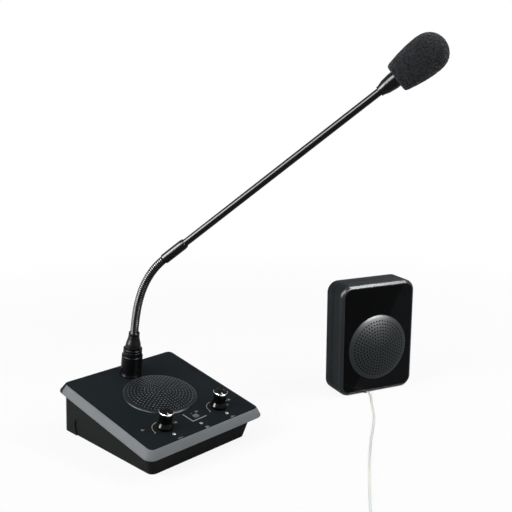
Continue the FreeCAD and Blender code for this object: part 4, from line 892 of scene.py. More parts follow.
@dataclass
class StatusLamps:
    """Three pale lenses, each in a dark ring, in a row along the panel's front edge."""

    radius: float = 2.5
    lens: float = 1.8
    proud: float = 0.9
    seat: float = 0.25            # height of the lens's own rim
    segments: int = 40

    def build(self) -> None:
        """Turns the rings and lenses as one piece, since they light one board."""
        edge = rounded([
            (self.radius, 0.0, 0.0), (self.radius, 0.5, 0.2), (self.lens + 0.05, 0.6, 0.1),
            (self.lens, 0.2, 0.0), (self.lens, 0.0, 0.0)], closed=True, steps=4)
        reach = np.linspace(self.lens, 0.0, 9)
        cap = np.column_stack([reach, self.seat + cap_height(self.lens, self.proud - self.seat, reach)])
        dome = np.concatenate([[[0.0, 0.05], [self.lens, 0.05]], cap])
        shell = Shell()
        for x in (-LAMP_SPREAD, 0.0, LAMP_SPREAD):
            shell.lathe(edge, PANEL.moved(x, LAMP_ROW), self.segments, ring=True, kind=1)
            shell.lathe(dome, PANEL.moved(x, LAMP_ROW), self.segments)
        piece = shell.build("led_lenses_turned", [LAMP_LENS, BLACK_ANODISED], "base")
        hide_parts("led_lenses")


class Ink(Enum):
    """The print's two inks, by their number on the printed piece."""

    GREY = 0
    CREAM = 1


@dataclass(frozen=True)
class Word:
    """A short printed word: its signs, the place of its middle, its height, stroke width and ink."""

    text: str
    at: Flat
    high: float
    stroke: float
    ink: Ink


OVAL = np.linspace(0, FULL_TURN, 17)
SIGNS: dict[str, Array] = {
    "0": np.column_stack([0.3 * np.cos(OVAL), 0.5 * np.sin(OVAL)]),
    "1": np.array([(-0.18, 0.3), (0.0, 0.5), (0.0, -0.5)]),
    "2": np.array([(-0.28, 0.22), (-0.16, 0.46), (0.12, 0.48), (0.28, 0.26), (0.2, 0.02), (-0.28, -0.5),
                   (0.3, -0.5)]),
    "N": np.array([(-0.28, -0.5), (-0.28, 0.5), (0.28, -0.5), (0.28, 0.5)]),
    "-": np.array([(-0.35, 0.0), (0.35, 0.0)]),
}


@dataclass
class PanelPrint:
    """Screen print on the plate, in strokes: a bracket by the key, volume arcs, numerals, lamp marks."""

    lift: float = 0.03
    spacing: float = 0.85         # from sign to sign, in sign heights
    bracket: tuple[tuple[Flat, Flat], ...] = (
        ((-4.6, -37.8), (-3.9, -51.7)), ((-4.3, -51.7), (13.2, -51.1)))
    bracket_stroke: float = 0.9
    arc: float = 11.5
    arc_span: Flat = (92, 188)    # degrees
    arc_foot: Flat = (1.9, -1.6)  # length, and height from the knob's row
    arc_stroke: float = 0.45
    key_words: tuple[Word, ...] = (
        Word("-", (3.2, -40.7), 1.4, 0.7, Ink.GREY), Word("0N", (9.6, -40.6), 1.9, 0.35, Ink.GREY))
    words: tuple[Word, ...] = (
        Word("0-", (-51.0, -38.0), 2.2, 0.4, Ink.CREAM), Word("10", (-19.2, -44.5), 2.2, 0.4, Ink.CREAM),
        Word("-10", (49.5, -41.4), 2.2, 0.4, Ink.CREAM), Word("0", (43.4, -47.5), 2.2, 0.4, Ink.CREAM),
        Word("-1-", (-31.0, -66.0), 2.3, 0.42, Ink.CREAM), Word("0N", (1.0, -66.0), 2.3, 0.42, Ink.CREAM),
        Word("-2-", (33.0, -66.0), 2.3, 0.42, Ink.CREAM))

    def ribbon(self, shell: Shell, line: Array, width: float, ink: Ink) -> None:
        """A stroke as a flat ribbon: each point is moved to both sides by half the width along the normal.

        Args:
            shell: Where the stroke goes.
            line: Points of shape (n, 2) on the plate.
            width: The stroke's width.
            ink: Its ink.
        """
        way = unit(np.gradient(line, axis=0))
        aside = 0.5 * width * np.column_stack([-way[:, 1], way[:, 0]])
        rows = np.stack([line + aside, line - aside], 1)
        grid = np.concatenate([rows, np.full((*rows.shape[:2], 1), self.lift)], -1)
        shell.add(PANEL.at(grid), [quads(len(line), 2, wrap=False)], ink.value)

    def write(self, shell: Shell, word: Word) -> None:
        """A word about its place: a round sign as one stroke, any other as one for each straight run."""
        for index, sign in enumerate(word.text):
            shift = (index - 0.5 * (len(word.text) - 1)) * self.spacing * word.high
            points = SIGNS[sign] * word.high + np.array([word.at[0] + shift, word.at[1]])
            runs = [points] if sign == "0" else np.stack([points[:-1], points[1:]], 1)
            for run in runs:
                self.ribbon(shell, run, word.stroke, word.ink)

    def build(self) -> None:
        """Draws every stroke into one piece."""
        shell = Shell()
        for ends in self.bracket:
            self.ribbon(shell, np.array(ends), self.bracket_stroke, Ink.GREY)
        for word in self.key_words:
            self.write(shell, word)
        long, low = self.arc_foot
        for x in (-KNOB_SPREAD, KNOB_SPREAD):
            turn = np.radians(np.linspace(*self.arc_span, 25))
            line = np.column_stack([x + self.arc * np.cos(turn), KNOB_ROW + self.arc * np.sin(turn)])
            self.ribbon(shell, line, self.arc_stroke, Ink.CREAM)
            foot = np.array([[x - self.arc, KNOB_ROW + low], [x - self.arc - long, KNOB_ROW + low]])
            self.ribbon(shell, foot, self.arc_stroke, Ink.CREAM)
        for word in self.words:
            self.write(shell, word)
        piece = shell.build("panel_print", [PRINT_GREY, PRINT_CREAM], "base", mend=False)


@dataclass
class MicrophonePlug:
    """Socket collar on the plate, and the plug's shell, boot and neck ring that stand in it."""

    collar: float = 10.4
    collar_foot: float = 11.0
    shell: float = 9.35
    groove: float = 9.05          # radius at the bottom of the shell's groove
    boot: float = 7.75
    neck: float = 5.4
    bore: float = 4.1
    segments: int = 128

    def build(self) -> None:
        """Turns the four pieces from the plate upwards."""
        place = PANEL.moved(0, SOCKET_ROW)
        collar = rounded([
            (9.43, 22.0, 0.15), (self.collar, 22.0, 0.4), (self.collar, 3.2, 1.5),
            (self.collar_foot, 1.2, 0.5), (self.collar_foot, 0.0, 0.1), (9.8, 0.0, 0), (9.8, -10.0, 0),
            (9.43, -10.0, 0)], closed=True)
        turned_piece("socket_collar_turned", "socket_collar", "base", BLACK_ANODISED, collar,
                     place, self.segments)
        shell = rounded([
            (self.boot, 29.3, 0.1), (self.shell, 29.3, 0.45), (self.shell, 27.3, 0.1),
            (self.groove, 27.1, 0.05), (self.groove, 26.5, 0.05), (self.shell, 26.3, 0.1),
            (self.shell, 5.0, 0.1), (self.boot, 5.0, 0.1)], closed=True, steps=5)
        turned_piece("plug_shell_turned", "plug_shell", "plug", BLACK_ANODISED, shell,
                     place, self.segments)
        boot = rounded([
            (self.bore, 43.0, 0), (5.3, 43.0, 0.2), (5.9, 39.5, 3.0), (7.2, 35.0, 4.0),
            (self.boot, 31.2, 2.0), (self.boot, 24.3, 0), (self.bore, 24.3, 0)], closed=True, steps=8)
        turned_piece("plug_boot_turned", "plug_boot", "plug", RUBBER_BOOT, boot,
                     place, self.segments)
        neck = rounded([
            (self.bore, NECK_FOOT, 0.1), (self.neck, NECK_FOOT, 0.5), (self.neck, 43.0, 0.3),
            (self.bore, 43.0, 0)], closed=True)
        turned_piece("neck_collar_turned", "neck_collar", "plug", BLACK_ANODISED, neck,
                     place, self.segments)


# ------------------------------------------------------------------ microphone
@dataclass
class Neck:
    """The wound gooseneck, in one stretch across each of its hinges."""

    pitch: float = 12.3           # from hinge to hinge
    hinges: int = 7
    ease: float = 1.8
    heading: float = -55.0        # of the boom, in degrees
    elevation: float = 38.4
    wind: float = 2.05            # from one turn of the winding to the next
    core: float = 3.45
    bulge: float = 0.65
    fullness: float = 0.7         # below one, turns are rounder and the gaps between them narrower
    gap: float = 0.74             # share of the bulge below which a turn lies in its neighbour's shade
    wall: float = 1.2
    rows: int = 97
    columns: int = 40

    def chain(self) -> tuple[Array, Array]:
        """Foot, hinges and end of the gooseneck, and the way the boom points.

        Each run turns from the panel's normal towards the boom by its share of the length raised to the ease,
        mixed by the sine rule.

        Returns:
            Points of shape (hinges + 2, 3) in millimetres, and the boom's unit way.
        """
        start, end = np.asarray(PANEL.axes[2]), direction_of(self.heading, self.elevation)
        whole = math.acos(float(start @ end))
        share = np.concatenate([[0.25], np.arange(1, self.hinges), [self.hinges - 0.25]]) / self.hinges
        part = (share ** self.ease)[:, None]
        ways = unit((start * np.sin(whole * (1 - part)) + end * np.sin(whole * part)) / math.sin(whole))
        ways[0], ways[-1] = start, end
        runs = np.full(self.hinges + 1, self.pitch)
        runs[[0, -1]] *= 0.5
        foot = PANEL.at(np.array([0, SOCKET_ROW, NECK_FOOT])) / MM
        return np.concatenate([foot[None], foot + np.cumsum(ways * runs[:, None], 0)]), end

    def winding(self, number: int, before: Array, hinge: Array, after: Array, side: Array) -> None:
        """The stretch of winding across one hinge.

        Its middle line is the parabola that leaves one end for the hinge and arrives at the next end
        from it. The radius swells and sinks with the absolute sine of the turns wound so far less the angle
        round the neck, which draws the wire's helix.

        Args:
            number: The hinge, counted from one.
            before: Where the stretch starts, in millimetres.
            hinge: The hinge's place.
            after: Where the stretch ends.
            side: The way at right angles to the whole bend.
        """
        t = np.linspace(0, 1, self.rows)[:, None]
        line = parabola(before, hinge, after, t)
        up = np.cross(side, unit((1 - t) * (hinge - before) + t * (after - hinge)))
        turn = around(self.columns)[None]
        wound = ((number - 1) + t) * self.pitch / self.wind - turn / FULL_TURN
        reach = self.core + self.bulge * np.abs(np.sin(math.pi * wound)) ** self.fullness
        spokes = np.cos(turn)[..., None] * side + np.sin(turn)[..., None] * up[:, None]
        outer = line[:, None] + reach[..., None] * spokes
        inner = line[:, None] + (self.core - self.wall) * spokes
        loops = np.concatenate([outer, inner[::-1], outer[:1]]) * MM
        # Faces low in a valley between turns take the near-black painted-shade finish.
        gaps = (reach[:-1] < self.core + self.gap * self.bulge).ravel().astype(int)
        kinds = np.concatenate([gaps, np.zeros((len(loops) - self.rows) * self.columns, int)])
        piece = Shell().skin(loops, kinds, caps=False).build(
            f"gooseneck_winding_{number}", [BLACK_OXIDE, SHADED_GAP], "", crease=80)
        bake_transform(piece)
        links = [f"gooseneck_link_{i}" for i in range(1, self.hinges)]
        nodes = ["gooseneck_root", *links, "gooseneck_end"]
        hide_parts(*nodes[number - 1:number + 1])

    def build(self) -> Place:
        """Winds every stretch.

        Returns:
            The boom's own frame, Z along it.
        """
        points, end = self.chain()
        ends = np.concatenate([points[:1], 0.5 * (points[1:-2] + points[2:-1]), points[-1:]])
        side = unit(np.cross(np.asarray(PANEL.axes[2]), end))
        for number in range(1, self.hinges + 1):
            self.winding(number, ends[number - 1], points[number], ends[number], side)
        return standing(points[-1], end, side)


@dataclass
class Windscreen:
    """The foam over the microphone: a pear turned about the boom, with a pocket for the housing."""

    place: Place
    start: float = 269.0          # along the boom
    pocket: float = 7.5
    pocket_depth: float = 27.5
    middle: float = 28.0          # height over the foam's foot of the point its skin is pushed out from
    rows: int = 190
    segments: int = 200
    blur: int = 6                 # rounds of smoothing that ease the pear's outline
    waves: int = 60
    wave_sizes: Flat = (0.6, 3.4)         # radians a millimetre, shortest to longest
    wave_height: float = 0.012
    shrink: float = 0.1           # how far the skin is drawn in, so that the waves stay inside the solid
    firm: float = 1.5             # height from the foot over which waves and shrink set in

    def pear(self) -> Array:
        """The outline, evenly spaced along its own length and smoothed by means of neighbours.

        Returns:
            Points (radius, height along the boom) of shape (rows, 2).
        """
        heights = np.array([0, 0.0, 0.25, 0.9, 1.9, 4.0, 7.0, 12.0, 18.0, 24.0, 29.0, 33.75, 38.0, 42.0, 45.5,
                            48.2, 50.0, 51.0, 51.5])
        radii = np.array([self.pocket, 10.2, 12.0, 13.1, 13.7, 14.3, 14.9, 15.9, 16.85, 17.45, 17.7, 17.75,
                          17.25, 15.85, 13.6, 10.6, 7.2, 4.0, 0.0])
        length = np.concatenate([[0], np.cumsum(np.hypot(np.diff(radii), np.diff(heights)))])
        even = np.linspace(0, length[-1], self.rows)
        line = np.column_stack([
            np.interp(even, length, radii), np.interp(even, length, heights) + self.start])
        for _ in range(self.blur):
            line[1:-1] = 0.25 * line[:-2] + 0.5 * line[1:-1] + 0.25 * line[2:]
        return line

    def build(self) -> None:
        """Turns the outline and breaks up its skin: seeded cosine waves push each point out or in."""
        foot = [self.pocket, self.start]
        outline = np.concatenate([[foot], self.pear()])
        grid = turned(outline, self.segments)
        draw = np.random.default_rng(7)
        waves = draw.normal(size=(self.waves, 3)) * draw.uniform(*self.wave_sizes, (self.waves, 1))
        phase = draw.uniform(0, FULL_TURN, self.waves)
        lift = np.cos(grid @ waves.T + phase).sum(-1) * self.wave_height
        out = unit(grid - np.array([0, 0, self.start + self.middle]))
        hold = np.clip((outline[:, 1] - self.start) / self.firm, 0, 1)[:, None, None]
        grid = grid + out * (lift[..., None] - self.shrink) * hold
        shell = Shell().add(self.place.at(grid), [quads(len(outline), self.segments)])
        deep = self.start + self.pocket_depth
        shell.lathe(np.array([[0.0, deep], [self.pocket, deep], foot]), self.place, self.segments)
        piece = shell.build("foam_windscreen_cells", [WINDSCREEN_FOAM], "boom", crease=60)
        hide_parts("foam_windscreen")


@dataclass
class Boom:
    """Ferrule, tube and capsule housing along the boom."""

    place: Place
    ferrule: float = 5.0
    ferrule_length: float = 26.5
    tube: float = 3.55
    tube_bore: float = 2.75
    tube_length: float = 229.0
    tube_hidden: float = 12.0     # length of it inside the ferrule
    housing: float = 7.5
    housing_start: float = 251.5
    segments: int = 64
    housing_segments: int = 96

    def build(self) -> None:
        """Turns the three pieces from the gooseneck outwards."""
        long = self.ferrule_length
        ferrule = rounded([
            (4.1, 0.0, 0.1), (4.75, 0.0, 0.3), (self.ferrule, 1.0, 0.6), (self.ferrule, long - 3.0, 1.0),
            (4.5, long, 0.3), (self.tube, long, 0.1), (self.tube, long - 3, 0), (4.1, long - 4, 0)],
            closed=True)
        turned_piece("ferrule_turned", "ferrule", "boom", BOOM_LACQUER, ferrule, self.place,
                     self.segments)
        low, high = long - self.tube_hidden, long + self.tube_length
        tube = np.array([[self.tube_bore, low], [self.tube, low], [self.tube, high], [self.tube_bore, high]])
        turned_piece("boom_tube_drawn", "boom_tube", "boom", BOOM_LACQUER, tube, self.place,
                     self.segments)
        start = self.housing_start
        housing = rounded([
            (self.tube, start, 0.1), (4.7, start, 0.3), (4.75, start + 1.6, 0.3), (6.4, start + 6.5, 5.0),
            (7.4, start + 14.0, 6.0), (self.housing, start + 20.0, 2.0), (self.housing, start + 45.0, 0.3),
            (6.5, start + 45.0, 0.1), (6.5, start + 18.0, 0), (self.tube, start + 4, 0)],
            closed=True, steps=8)
        turned_piece("mic_housing_turned", "mic_housing", "boom", BOOM_LACQUER, housing,
                     self.place, self.housing_segments)


# ------------------------------------------------------------------ window unit
@dataclass
class WindowShell:
    """The window unit's front shell and its glossy panel."""

    half_wide: float = 47.0
    high: float = 125.4
    corner: float = 12.8
    least_corner: float = 1.0
    corner_steps: int = 14
    edge: float = 4.0             # width of the bezel round the panel
    split: float = 24.0           # from the front face to where the back cover starts
    seam: float = 0.15            # how far short of the split the shell ends
    polished: float = 4.4         # depth behind the front face to which the tool was polished
    panel: float = 1.2            # thickness of the glossy panel
    panel_gap: float = 0.1
    grooves: Flat = (17.2, 20.6)  # behind the front face
    groove_wide: float = 0.8
    groove_deep: float = 0.7
    slant: tuple[Flat, Flat] = ((-30.1, 5.6), (31.1, 120.3))      # foot and head of the painted reflection's edge

    def loops(self, outline: Array) -> Array:
        """Rounded rectangles like the front, one for each point: how far in, and how far back."""
        rows = []
        for inset, back in outline:
            radius = max(self.least_corner, self.corner - inset)
            loop = frame_loop(self.half_wide - inset, 0.5 * self.high - inset, radius, self.corner_steps)
            rows.append(np.column_stack([loop[:, 0], np.full(len(loop), back), loop[:, 1] + 0.5 * self.high]))
        return WINDOW.at(np.stack(rows))

    def groove(self, back: float) -> list[Point]:
        """Corners of a shallow groove round the side wall, at a distance behind the front face."""
        end = back + self.groove_wide
        return [(0.0, back, 0.0), (self.groove_deep, back + 0.1, 0.0), (self.groove_deep, end - 0.1, 0.0),
                (0.0, end, 0.0)]

    def bezel(self) -> None:
        """The front shell: its section from the panel's seat over the rounded edge and back to the split."""
        end = self.split - self.seam
        near, far = self.grooves
        section = rounded([
            (8.0, self.panel, 0), (self.edge, self.panel, 0), (self.edge, 0.0, 0.15), (2.6, 0.25, 1.2),
            (0.55, 2.3, 1.6), (0.0, 4.6, 1.5), *self.groove(near), *self.groove(far), (0.0, end, 0.2),
            (0.5, end, 0)])
        polished = (section[:-1, 1] < self.polished).astype(int)
        kinds = np.repeat(polished, 4 * (self.corner_steps + 1))
        piece = Shell().skin(self.loops(section), kinds).build(
            "window_bezel_moulded", [WINDOW_ABS, WINDOW_EDGE], "base")
        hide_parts("window_bezel")

    def front(self) -> None:
        """The glossy panel with its slanting painted reflection."""
        foot, head = (WINDOW.at(np.array([x, 0.0, z])) for x, z in self.slant)
        across = np.cross(unit(head - foot), np.asarray(WINDOW.axes[1]))
        if across @ np.asarray(WINDOW.axes[0]) < 0:
            across = -across
        finish = PaintedReflectionFinish("Black_acrylic_with_painted_reflection", "#050607", 0.08, specular=0.03, drift=0.15,
                                  through=as_point(foot), across=as_point(across))
        inset = self.edge + self.panel_gap
        section = np.array([(inset + 0.25, 0.02), (inset, 0.2), (inset, self.panel)])
        piece = Shell().skin(self.loops(section)).build("window_panel_painted_reflection", [finish], "base")
        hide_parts("window_panel")

    def build(self) -> None:
        """Makes the front shell and the panel."""
        self.bezel()
        self.front()


# ------------------------------------------------------------------ speaker lead
@dataclass
class SpeakerLead:
    """The twin lead: out of the window unit, along the table, and wound away."""

    width: float = 3.0
    half_thick: float = 0.8
    waist: float = 0.4            # share by which it is thinner between its two cores
    waist_wide: float = 0.32      # in half widths
    rest: float = 1.6             # height of its middle as it leaves the unit and in the coil
    laid: float = 1.0             # and between them
    exit_at: Flat = (-11.0, 1.6)  # on the window unit
    exit_run: float = 8.0
    route: tuple[Flat, ...] = (
        (214.5, -93.0), (190.5, -113.6), (176.0, -125.2), (151.8, -140.3), (123.0, -159.2), (90.2, -182.3),
        (58.0, -206.4), (27.0, -230.3), (6.0, -247.6))
    last_run: float = 17.0
    lead_in: float = 14.0
    coil_heading: float = -138.0
    turn_radius: float = 18.0     # of the coil's middle turn
    layers: int = 4
    per_layer: int = 4
    turn_points: int = 18         # control points in each turn
    plug_radius: float = 19.0     # of the plug's place on the coil
    plug_angle: float = 250.0
    plug_half: float = 4.0        # half its thickness
    clearance: float = 0.02
    sway: float = 45.0            # of lead to each radian of its slow rocking
    rock: float = 0.5             # radians that it rocks to each side
    twist: float = 55.0           # of lead to each radian of twist in the coil
    twist_from: float = 330.0     # from the exit
    settle: float = 50.0          # from the exit, over which it starts to turn
    columns: int = 20

    @property
    def outer(self) -> float:
        """Radius of the coil's outermost turn."""
        return self.turn_radius + 0.5 * (self.per_layer - 1) * self.width

    def coil(self, centre: Array, first: float) -> Array:
        """Control points of the wound turns, layer on layer, in and out by turns.

        A turn keeps its radius for four fifths of the way and then moves over by one width, or up by one at a
        layer's end. The control points lie outside the turn by one over the cosine of half their spacing,
        because the spline runs through the middles of their sides.

        Args:
            centre: The coil's middle on the table.
            first: Angle of the first point.

        Returns:
            Points of shape (n, 3) in millimetres of the desk unit's frame.
        """
        t = np.arange(self.layers * self.per_layer * self.turn_points) / self.turn_points
        whole = np.floor(t).astype(int)
        move = np.clip((t - whole - 0.8) / 0.2, 0, 1)
        move = move * move * (3 - 2 * move)
        layer, place = whole // self.per_layer, whole % self.per_layer
        last = place == self.per_layer - 1
        step = np.where(last, 0.0, 1.0) * move
        index = np.where(layer % 2 == 0, place + step, self.per_layer - 1 - place - step)
        reach = (self.outer - index * self.width) / math.cos(math.pi / self.turn_points)
        height = self.rest + (layer + np.where(last & (layer < self.layers - 1), move, 0.0)) * self.width
        angle = first + FULL_TURN * t
        return np.stack([centre[0] + reach * np.cos(angle), centre[1] + reach * np.sin(angle), height], -1)

    def tail(self, centre: Array, first: float) -> Array:
        """Control points from the last turn up onto the coil and into the plug.

        Reach and height go from the last turn's to the plug's, the height by its share raised to 1.5.

        Args:
            centre: The coil's middle on the table.
            first: Angle at which the turns start and end.

        Returns:
            Points of shape (n, 3) in millimetres of the desk unit's frame.
        """
        rise = self.rest + (self.layers - 1) * self.width
        angle = math.radians(self.plug_angle)
        seat = centre + np.array([math.cos(angle), math.sin(angle), 0]) * self.plug_radius
        seat[2] = rise + 0.5 * self.width + self.clearance + self.plug_half
        start = first + FULL_TURN * self.layers * self.per_layer
        share = np.linspace(0.2, 1, 6)[:-1]
        turn = start + (angle - start) % FULL_TURN * share
        reach = self.outer + (self.plug_radius - self.outer) * share
        climb = rise + (seat[2] - rise) * share ** 1.5
        tail = np.stack([centre[0] + reach * np.cos(turn), centre[1] + reach * np.sin(turn), climb], -1)
        along = np.array([-math.sin(angle), math.cos(angle), 0])
        return np.concatenate([tail, (seat - along * 2.0)[None], (seat + along * 1.0)[None]])

    def controls(self) -> tuple[Array, Array]:
        """Every control point of the lead, and where it leaves the unit, both in metres of the part."""
        start = Place(WINDOW_AT, WINDOW.axes).at(np.array([*self.exit_at, self.rest])) / MM
        out = -np.asarray(WINDOW.axes[1])
        heading = math.radians(self.coil_heading)
        way = np.array([math.cos(heading), math.sin(heading), 0.0])
        left = np.array([-way[1], way[0], 0.0])
        last = np.array([*self.route[-1], self.rest])
        centre = last + way * (self.last_run + self.lead_in) + left * self.outer
        first = math.atan2(-left[1], -left[0])
        table = [np.array([x, y, self.laid]) for x, y in self.route]
        points = np.array([start, start + out * self.exit_run, *table, last + way * self.last_run])
        wound = self.coil(centre, first + math.pi / self.turn_points)
        return DESK.at(np.concatenate([points, wound, self.tail(centre, first)])), DESK.at(start)

    def line(self, points: Array) -> Array:
        """Points along the lead's NURBS spline, as Blender gives them for the bare curve."""
        curve = bpy.data.curves.new("speaker_lead_line", "CURVE")
        curve.dimensions = "3D"
        curve.resolution_u = 5
        spline = curve.splines.new("NURBS")
        spline.points.add(len(points) - 1)
        weighted = np.column_stack([points, np.ones(len(points))])
        spline.points.foreach_set("co", weighted.astype(np.float32).ravel())
        spline.order_u = 3
        spline.use_endpoint_u = True
        holder = bpy.data.objects.new("speaker_lead_line", curve)
        bpy.context.scene.collection.objects.link(holder)
        bpy.context.view_layer.update()
        bare = bpy.data.meshes.new_from_object(holder)
        found = np.zeros(len(bare.vertices) * 3)
        bare.vertices.foreach_get("co", found)
        bpy.data.objects.remove(holder)
        bpy.data.meshes.remove(bare)
        found = found.reshape(-1, 3)
        apart = np.linalg.norm(np.diff(found, axis=0), axis=1) > 1e-6
        return found[np.concatenate([[True], apart])]

    def section(self, path: Array, far: Array) -> Array:
        """The twin section carried along the path.

        It is an ellipse pinched at its middle by a bell curve. It rocks by a sine of the length so far, and
        from some way along it also twists evenly.

        Args:
            path: Points of the middle line in metres.
            far: Length of the lead up to each of them.

        Returns:
            Points of shape (n, columns, 3) in metres.
        """
        way = unit(np.gradient(path, axis=0))
        side = unit(np.cross(way, [0, 0, 1.0]))
        up = np.cross(side, way)
        rocking = self.rock * np.sin(far / (self.sway * MM))
        twisting = far / (self.twist * MM) * (far > self.twist_from * MM)
        roll = ((rocking + twisting) * np.clip(far / (self.settle * MM), 0, 1))[:, None]
        aside, lift = side * np.cos(roll) + up * np.sin(roll), up * np.cos(roll) - side * np.sin(roll)
        turn = around(self.columns)
        pinch = 1 - self.waist * np.exp(-(np.cos(turn) / self.waist_wide) ** 2)
        across = 0.5 * self.width * MM * np.cos(turn)
        thick = self.half_thick * MM * np.sin(turn) * pinch
        return path[:, None] + aside[:, None] * across[None, :, None] + lift[:, None] * thick[None, :, None]

    def build(self) -> None:
        points, start = self.controls()
        path = self.line(points)
        far = np.concatenate([[0], np.cumsum(np.linalg.norm(np.diff(path, axis=0), axis=1))])
        shell = Shell().skin(self.section(path, far))
        piece = shell.build("speaker_lead_twin", [LEAD_PVC], "base", crease=70)
        layer = piece.data.uv_layers.new(name="lead")
        corners = np.zeros(len(piece.data.loops), np.int32)
        piece.data.loops.foreach_get("vertex_index", corners)
        row, column = corners // self.columns, corners % self.columns
        core = 1 - np.abs(np.abs(np.cos(around(self.columns))) - 0.5) / 0.5
        own = np.column_stack([far[row] / (2 * self.half_thick * MM), core[column]])
        layer.data.foreach_set("uv", own.astype(np.float32).ravel())
        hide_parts("cord_tube", "cord_coil")
        LOG.info("lead length %.4f m", far[-1])


# ------------------------------------------------------------------ studio
BOOM_MIDDLE = (-0.04, -0.01, 0.25)
BOOM_WAY = (0.45, -0.64, 0.62)
WINDOW_MIDDLE = (0.13, -0.02, 0.12)


@dataclass(frozen=True)
class SoftLamp:
    """One soft box: where it hangs and what it points at, its two sizes, its power and its long way."""

    name: str
    at: Point
    aim: Point
    long: float
    wide: float
    watts: float
    way: Point = (0.0, 0.0, 1.0)
    gloss_only: bool = False      # seen in gloss, and lights no matt surface


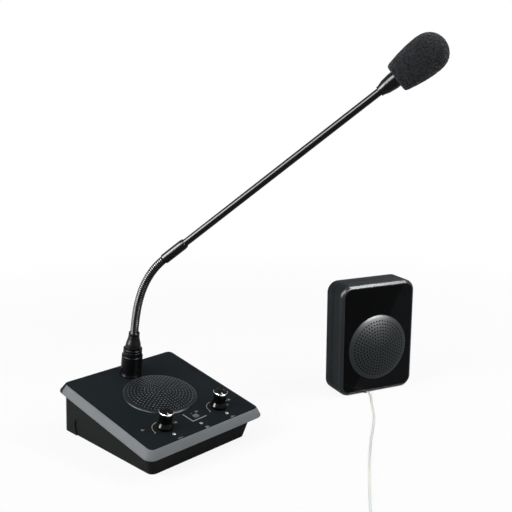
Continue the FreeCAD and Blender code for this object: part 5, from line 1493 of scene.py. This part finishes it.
@dataclass
class Studio:
    """Pale floor, soft lamps and the camera, in metres of the part."""

    camera_at: Point = (-0.554925, -0.503203, 0.335400)
    yaw: float = 45.466
    pitch: float = 12.270
    lens: float = 55.06
    sensor: float = 36.0
    lamps: tuple[SoftLamp, ...] = (
        SoftLamp("top_soft_box", (0.05, 0.25, 1.25), (0.0, 0.0, 0.1), 0.5, 0.5, 2.0, (0.0, 1.0, 0.0)),
        SoftLamp("boom_strip", (-0.98, 0.175, 0.786), BOOM_MIDDLE, 1.1, 0.5, 11.0, BOOM_WAY),
        SoftLamp("front_soft_box", (0.40, -0.84, 0.72), (0.13, -0.02, 0.06), 0.26, 0.26, 2.8),
        SoftLamp("right_soft_box", (0.59, -0.48, 1.0), WINDOW_MIDDLE, 0.18, 0.18, 4.0),
        SoftLamp("boom_sheen", (-0.909, 0.133, 0.721), BOOM_MIDDLE, 1.5, 0.6, 160.0, BOOM_WAY, True),
        SoftLamp("neck_sheen", (-0.85, 0.49, 0.47), (-0.11, 0.11, 0.13), 0.5, 0.5, 30.0, gloss_only=True),
        SoftLamp("dome_sheen", (0.24, -1.08, 0.70), WINDOW_MIDDLE, 0.6, 0.6, 170.0, gloss_only=True),
        SoftLamp("edge_sheen", (0.50, -0.43, 1.18), WINDOW_MIDDLE, 0.5, 0.5, 42.0, gloss_only=True),
    )
    room_light: float = 0.08      # the room's strength where it lights
    floor_half: float = 6.0
    floor_cloud: float = 60.0     # clouds of the paper to a metre
    shadow_share: float = 0.90    # of white over the floor's own tone, near the object
    shadow_near: float = 0.30     # from the middle, within which the floor keeps that share
    shadow_far: float = 0.95      # and beyond which it is plain white

    @staticmethod
    def placed(piece: bpy.types.Object, axes: list[Array], at: Point) -> None:
        """Stands a camera or lamp at a place with its own three axes, and links it."""
        rows = np.eye(4)
        rows[:3, :3] = np.column_stack(axes)
        rows[:3, 3] = at
        piece.matrix_world = Matrix(rows.tolist())
        bpy.context.scene.collection.objects.link(piece)

    def camera(self) -> None:
        """The camera looks along its heading, tipped down by its pitch."""
        yaw, pitch = math.radians(self.yaw), math.radians(self.pitch)
        ahead = np.array([math.sin(yaw) * math.cos(pitch), math.cos(yaw) * math.cos(pitch), -math.sin(pitch)])
        right = np.array([math.cos(yaw), -math.sin(yaw), 0.0])
        data = bpy.data.cameras.new("camera")
        data.sensor_width = self.sensor
        data.lens = self.lens
        camera = bpy.data.objects.new("camera", data)
        self.placed(camera, [right, np.cross(right, ahead), -ahead], self.camera_at)
        bpy.context.scene.camera = camera

    def lamp(self, kind: SoftLamp) -> None:
        """An oblong soft box at a place, turned to a point, its long side as near as can be to its way."""
        data = bpy.data.lights.new(kind.name, "AREA")
        data.shape = "RECTANGLE"
        data.size, data.size_y, data.energy = kind.long, kind.wide, kind.watts
        lamp = bpy.data.objects.new(kind.name, data)
        lamp.visible_diffuse = not kind.gloss_only
        back = unit(np.array(kind.at) - np.array(kind.aim))
        way = unit(np.array(kind.way) - back * (np.array(kind.way) @ back))
        self.placed(lamp, [way, np.cross(back, way), back], kind.at)

    @staticmethod
    def seen(tree: bpy.types.NodeTree) -> bpy.types.NodeSocket:
        """One where the eye sees a surface, straight, in a mirror or through glass."""
        path = add(tree, "ShaderNodeLightPath").outputs
        mirrored = add(tree, "ShaderNodeMath", {0: path["Is Camera Ray"], 1: path["Is Glossy Ray"]},
                       operation="MAXIMUM").outputs[0]
        return add(tree, "ShaderNodeMath", {0: mirrored, 1: path["Is Transmission Ray"]},
                   operation="MAXIMUM").outputs[0]

    def world(self) -> None:
        """White where it is seen, a plain pale grey where it lights."""
        world = bpy.data.worlds.new("pale_room")
        bpy.context.scene.world = world
        world.use_nodes = True
        tree = world.node_tree
        tree.nodes.clear()
        level = add(tree, "ShaderNodeMapRange", {
            "Value": self.seen(tree), "To Min": self.room_light, "To Max": 1.0})
        back = add(tree, "ShaderNodeBackground", {"Color": (1, 1, 1, 1), "Strength": level.outputs[0]})
        add(tree, "ShaderNodeOutputWorld", {"Surface": back.outputs[0]})

    def paper(self) -> bpy.types.Material:
        """The floor's paper: pale, faintly clouded, and brought to white where it is seen far out."""
        made = bpy.data.materials.new("Pale_floor_paper")
        made.use_nodes = True
        tree = made.node_tree
        tree.nodes.clear()
        place = add(tree, "ShaderNodeTexCoord").outputs["Object"]
        cloud = add(tree, "ShaderNodeTexNoise", {"Vector": place, "Scale": self.floor_cloud}).outputs[0]
        tone = add(tree, "ShaderNodeMix", {"Factor": cloud, "A": linear("#f0f0f0"), "B": linear("#f4f4f4")},
                   data_type="RGBA").outputs["Result"]
        matt = add(tree, "ShaderNodeBsdfDiffuse", {"Color": tone}).outputs[0]
        white = add(tree, "ShaderNodeEmission", {"Color": (1, 1, 1, 1), "Strength": 1.0}).outputs[0]
        away = add(tree, "ShaderNodeVectorMath", {0: place}, operation="LENGTH").outputs["Value"]
        fade = add(tree, "ShaderNodeMapRange", {
            "Value": away, "From Min": self.shadow_near, "From Max": self.shadow_far,
            "To Min": self.shadow_share, "To Max": 1.0}, interpolation_type="SMOOTHSTEP").outputs[0]
        share = add(tree, "ShaderNodeMath", {0: self.seen(tree), 1: fade}, operation="MULTIPLY").outputs[0]
        both = add(tree, "ShaderNodeMixShader", {0: share, 1: matt, 2: white}).outputs[0]
        add(tree, "ShaderNodeOutputMaterial", {"Surface": both})
        return made

    def floor(self) -> None:
        """A wide square of paper under the object."""
        far = self.floor_half
        mesh = bpy.data.meshes.new("floor")
        mesh.from_pydata([(-far, -far, 0), (far, -far, 0), (far, far, 0), (-far, far, 0)], [], [(0, 1, 2, 3)])
        mesh.materials.append(self.paper())
        floor = bpy.data.objects.new("floor", mesh)
        bpy.context.scene.collection.objects.link(floor)

    def build(self) -> None:
        """Sets camera, lamps, world and floor."""
        bpy.context.scene.view_settings.view_transform = "Standard"
        self.camera()
        self.world()
        self.floor()
        for lamp in self.lamps:
            self.lamp(lamp)


def dress_nodes() -> None:
    """Gives every carried-over node the finish of its slot."""
    slots = {row["node"]: row["material_slot"] for row in frame["record"]["subparts"]}
    for name, node in frame["nodes"].items():
        node.data.materials.clear()
        node.data.materials.append(SLOT_FINISHES[slots[name]].material())


def main() -> None:
    """Builds every sub-assembly in order."""
    logging.basicConfig(level=logging.INFO, format="%(message)s")
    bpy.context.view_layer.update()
    Studio().build()
    SpeakerLead().build()
    dress_nodes()
    TrimFrame().build()
    # The desk grille's hole walls take the pale edge finish, partly painted highlight.
    PiercedDome("desk_grille_pierced", "desk_grille", "grille_coating", PANEL.moved(0, 1.8), radius=36.2,
                edge=1.5, rise=3.2, finishes=(GRILLE_COAT, PIERCED_EDGE, ROLLED_RIM), pitch=3.15, hole=0.6,
                rings=10, shoulder=3.0).build()
    # The window grille's hole walls take the near-black painted-shade finish, for the shade inside each hole.
    PiercedDome("window_grille_pierced", "window_grille", "window_grille_coating",
                WINDOW_FACE.moved(0, 52.6, -1.2), radius=37.5, edge=1.2, rise=6.5,
                finishes=(DOME_PAINT, SHADED_GAP, DOME_PAINT), pitch=3.4, hole=0.78, rings=9).build()
    StatusLamps().build()
    PanelPrint().build()
    for side in Side:
        VolumeKnob(side).build()
    MicrophonePlug().build()
    boom = Neck().build()
    Boom(boom).build()
    Windscreen(boom).build()
    WindowShell().build()


if __name__ == "__main__":
    main()
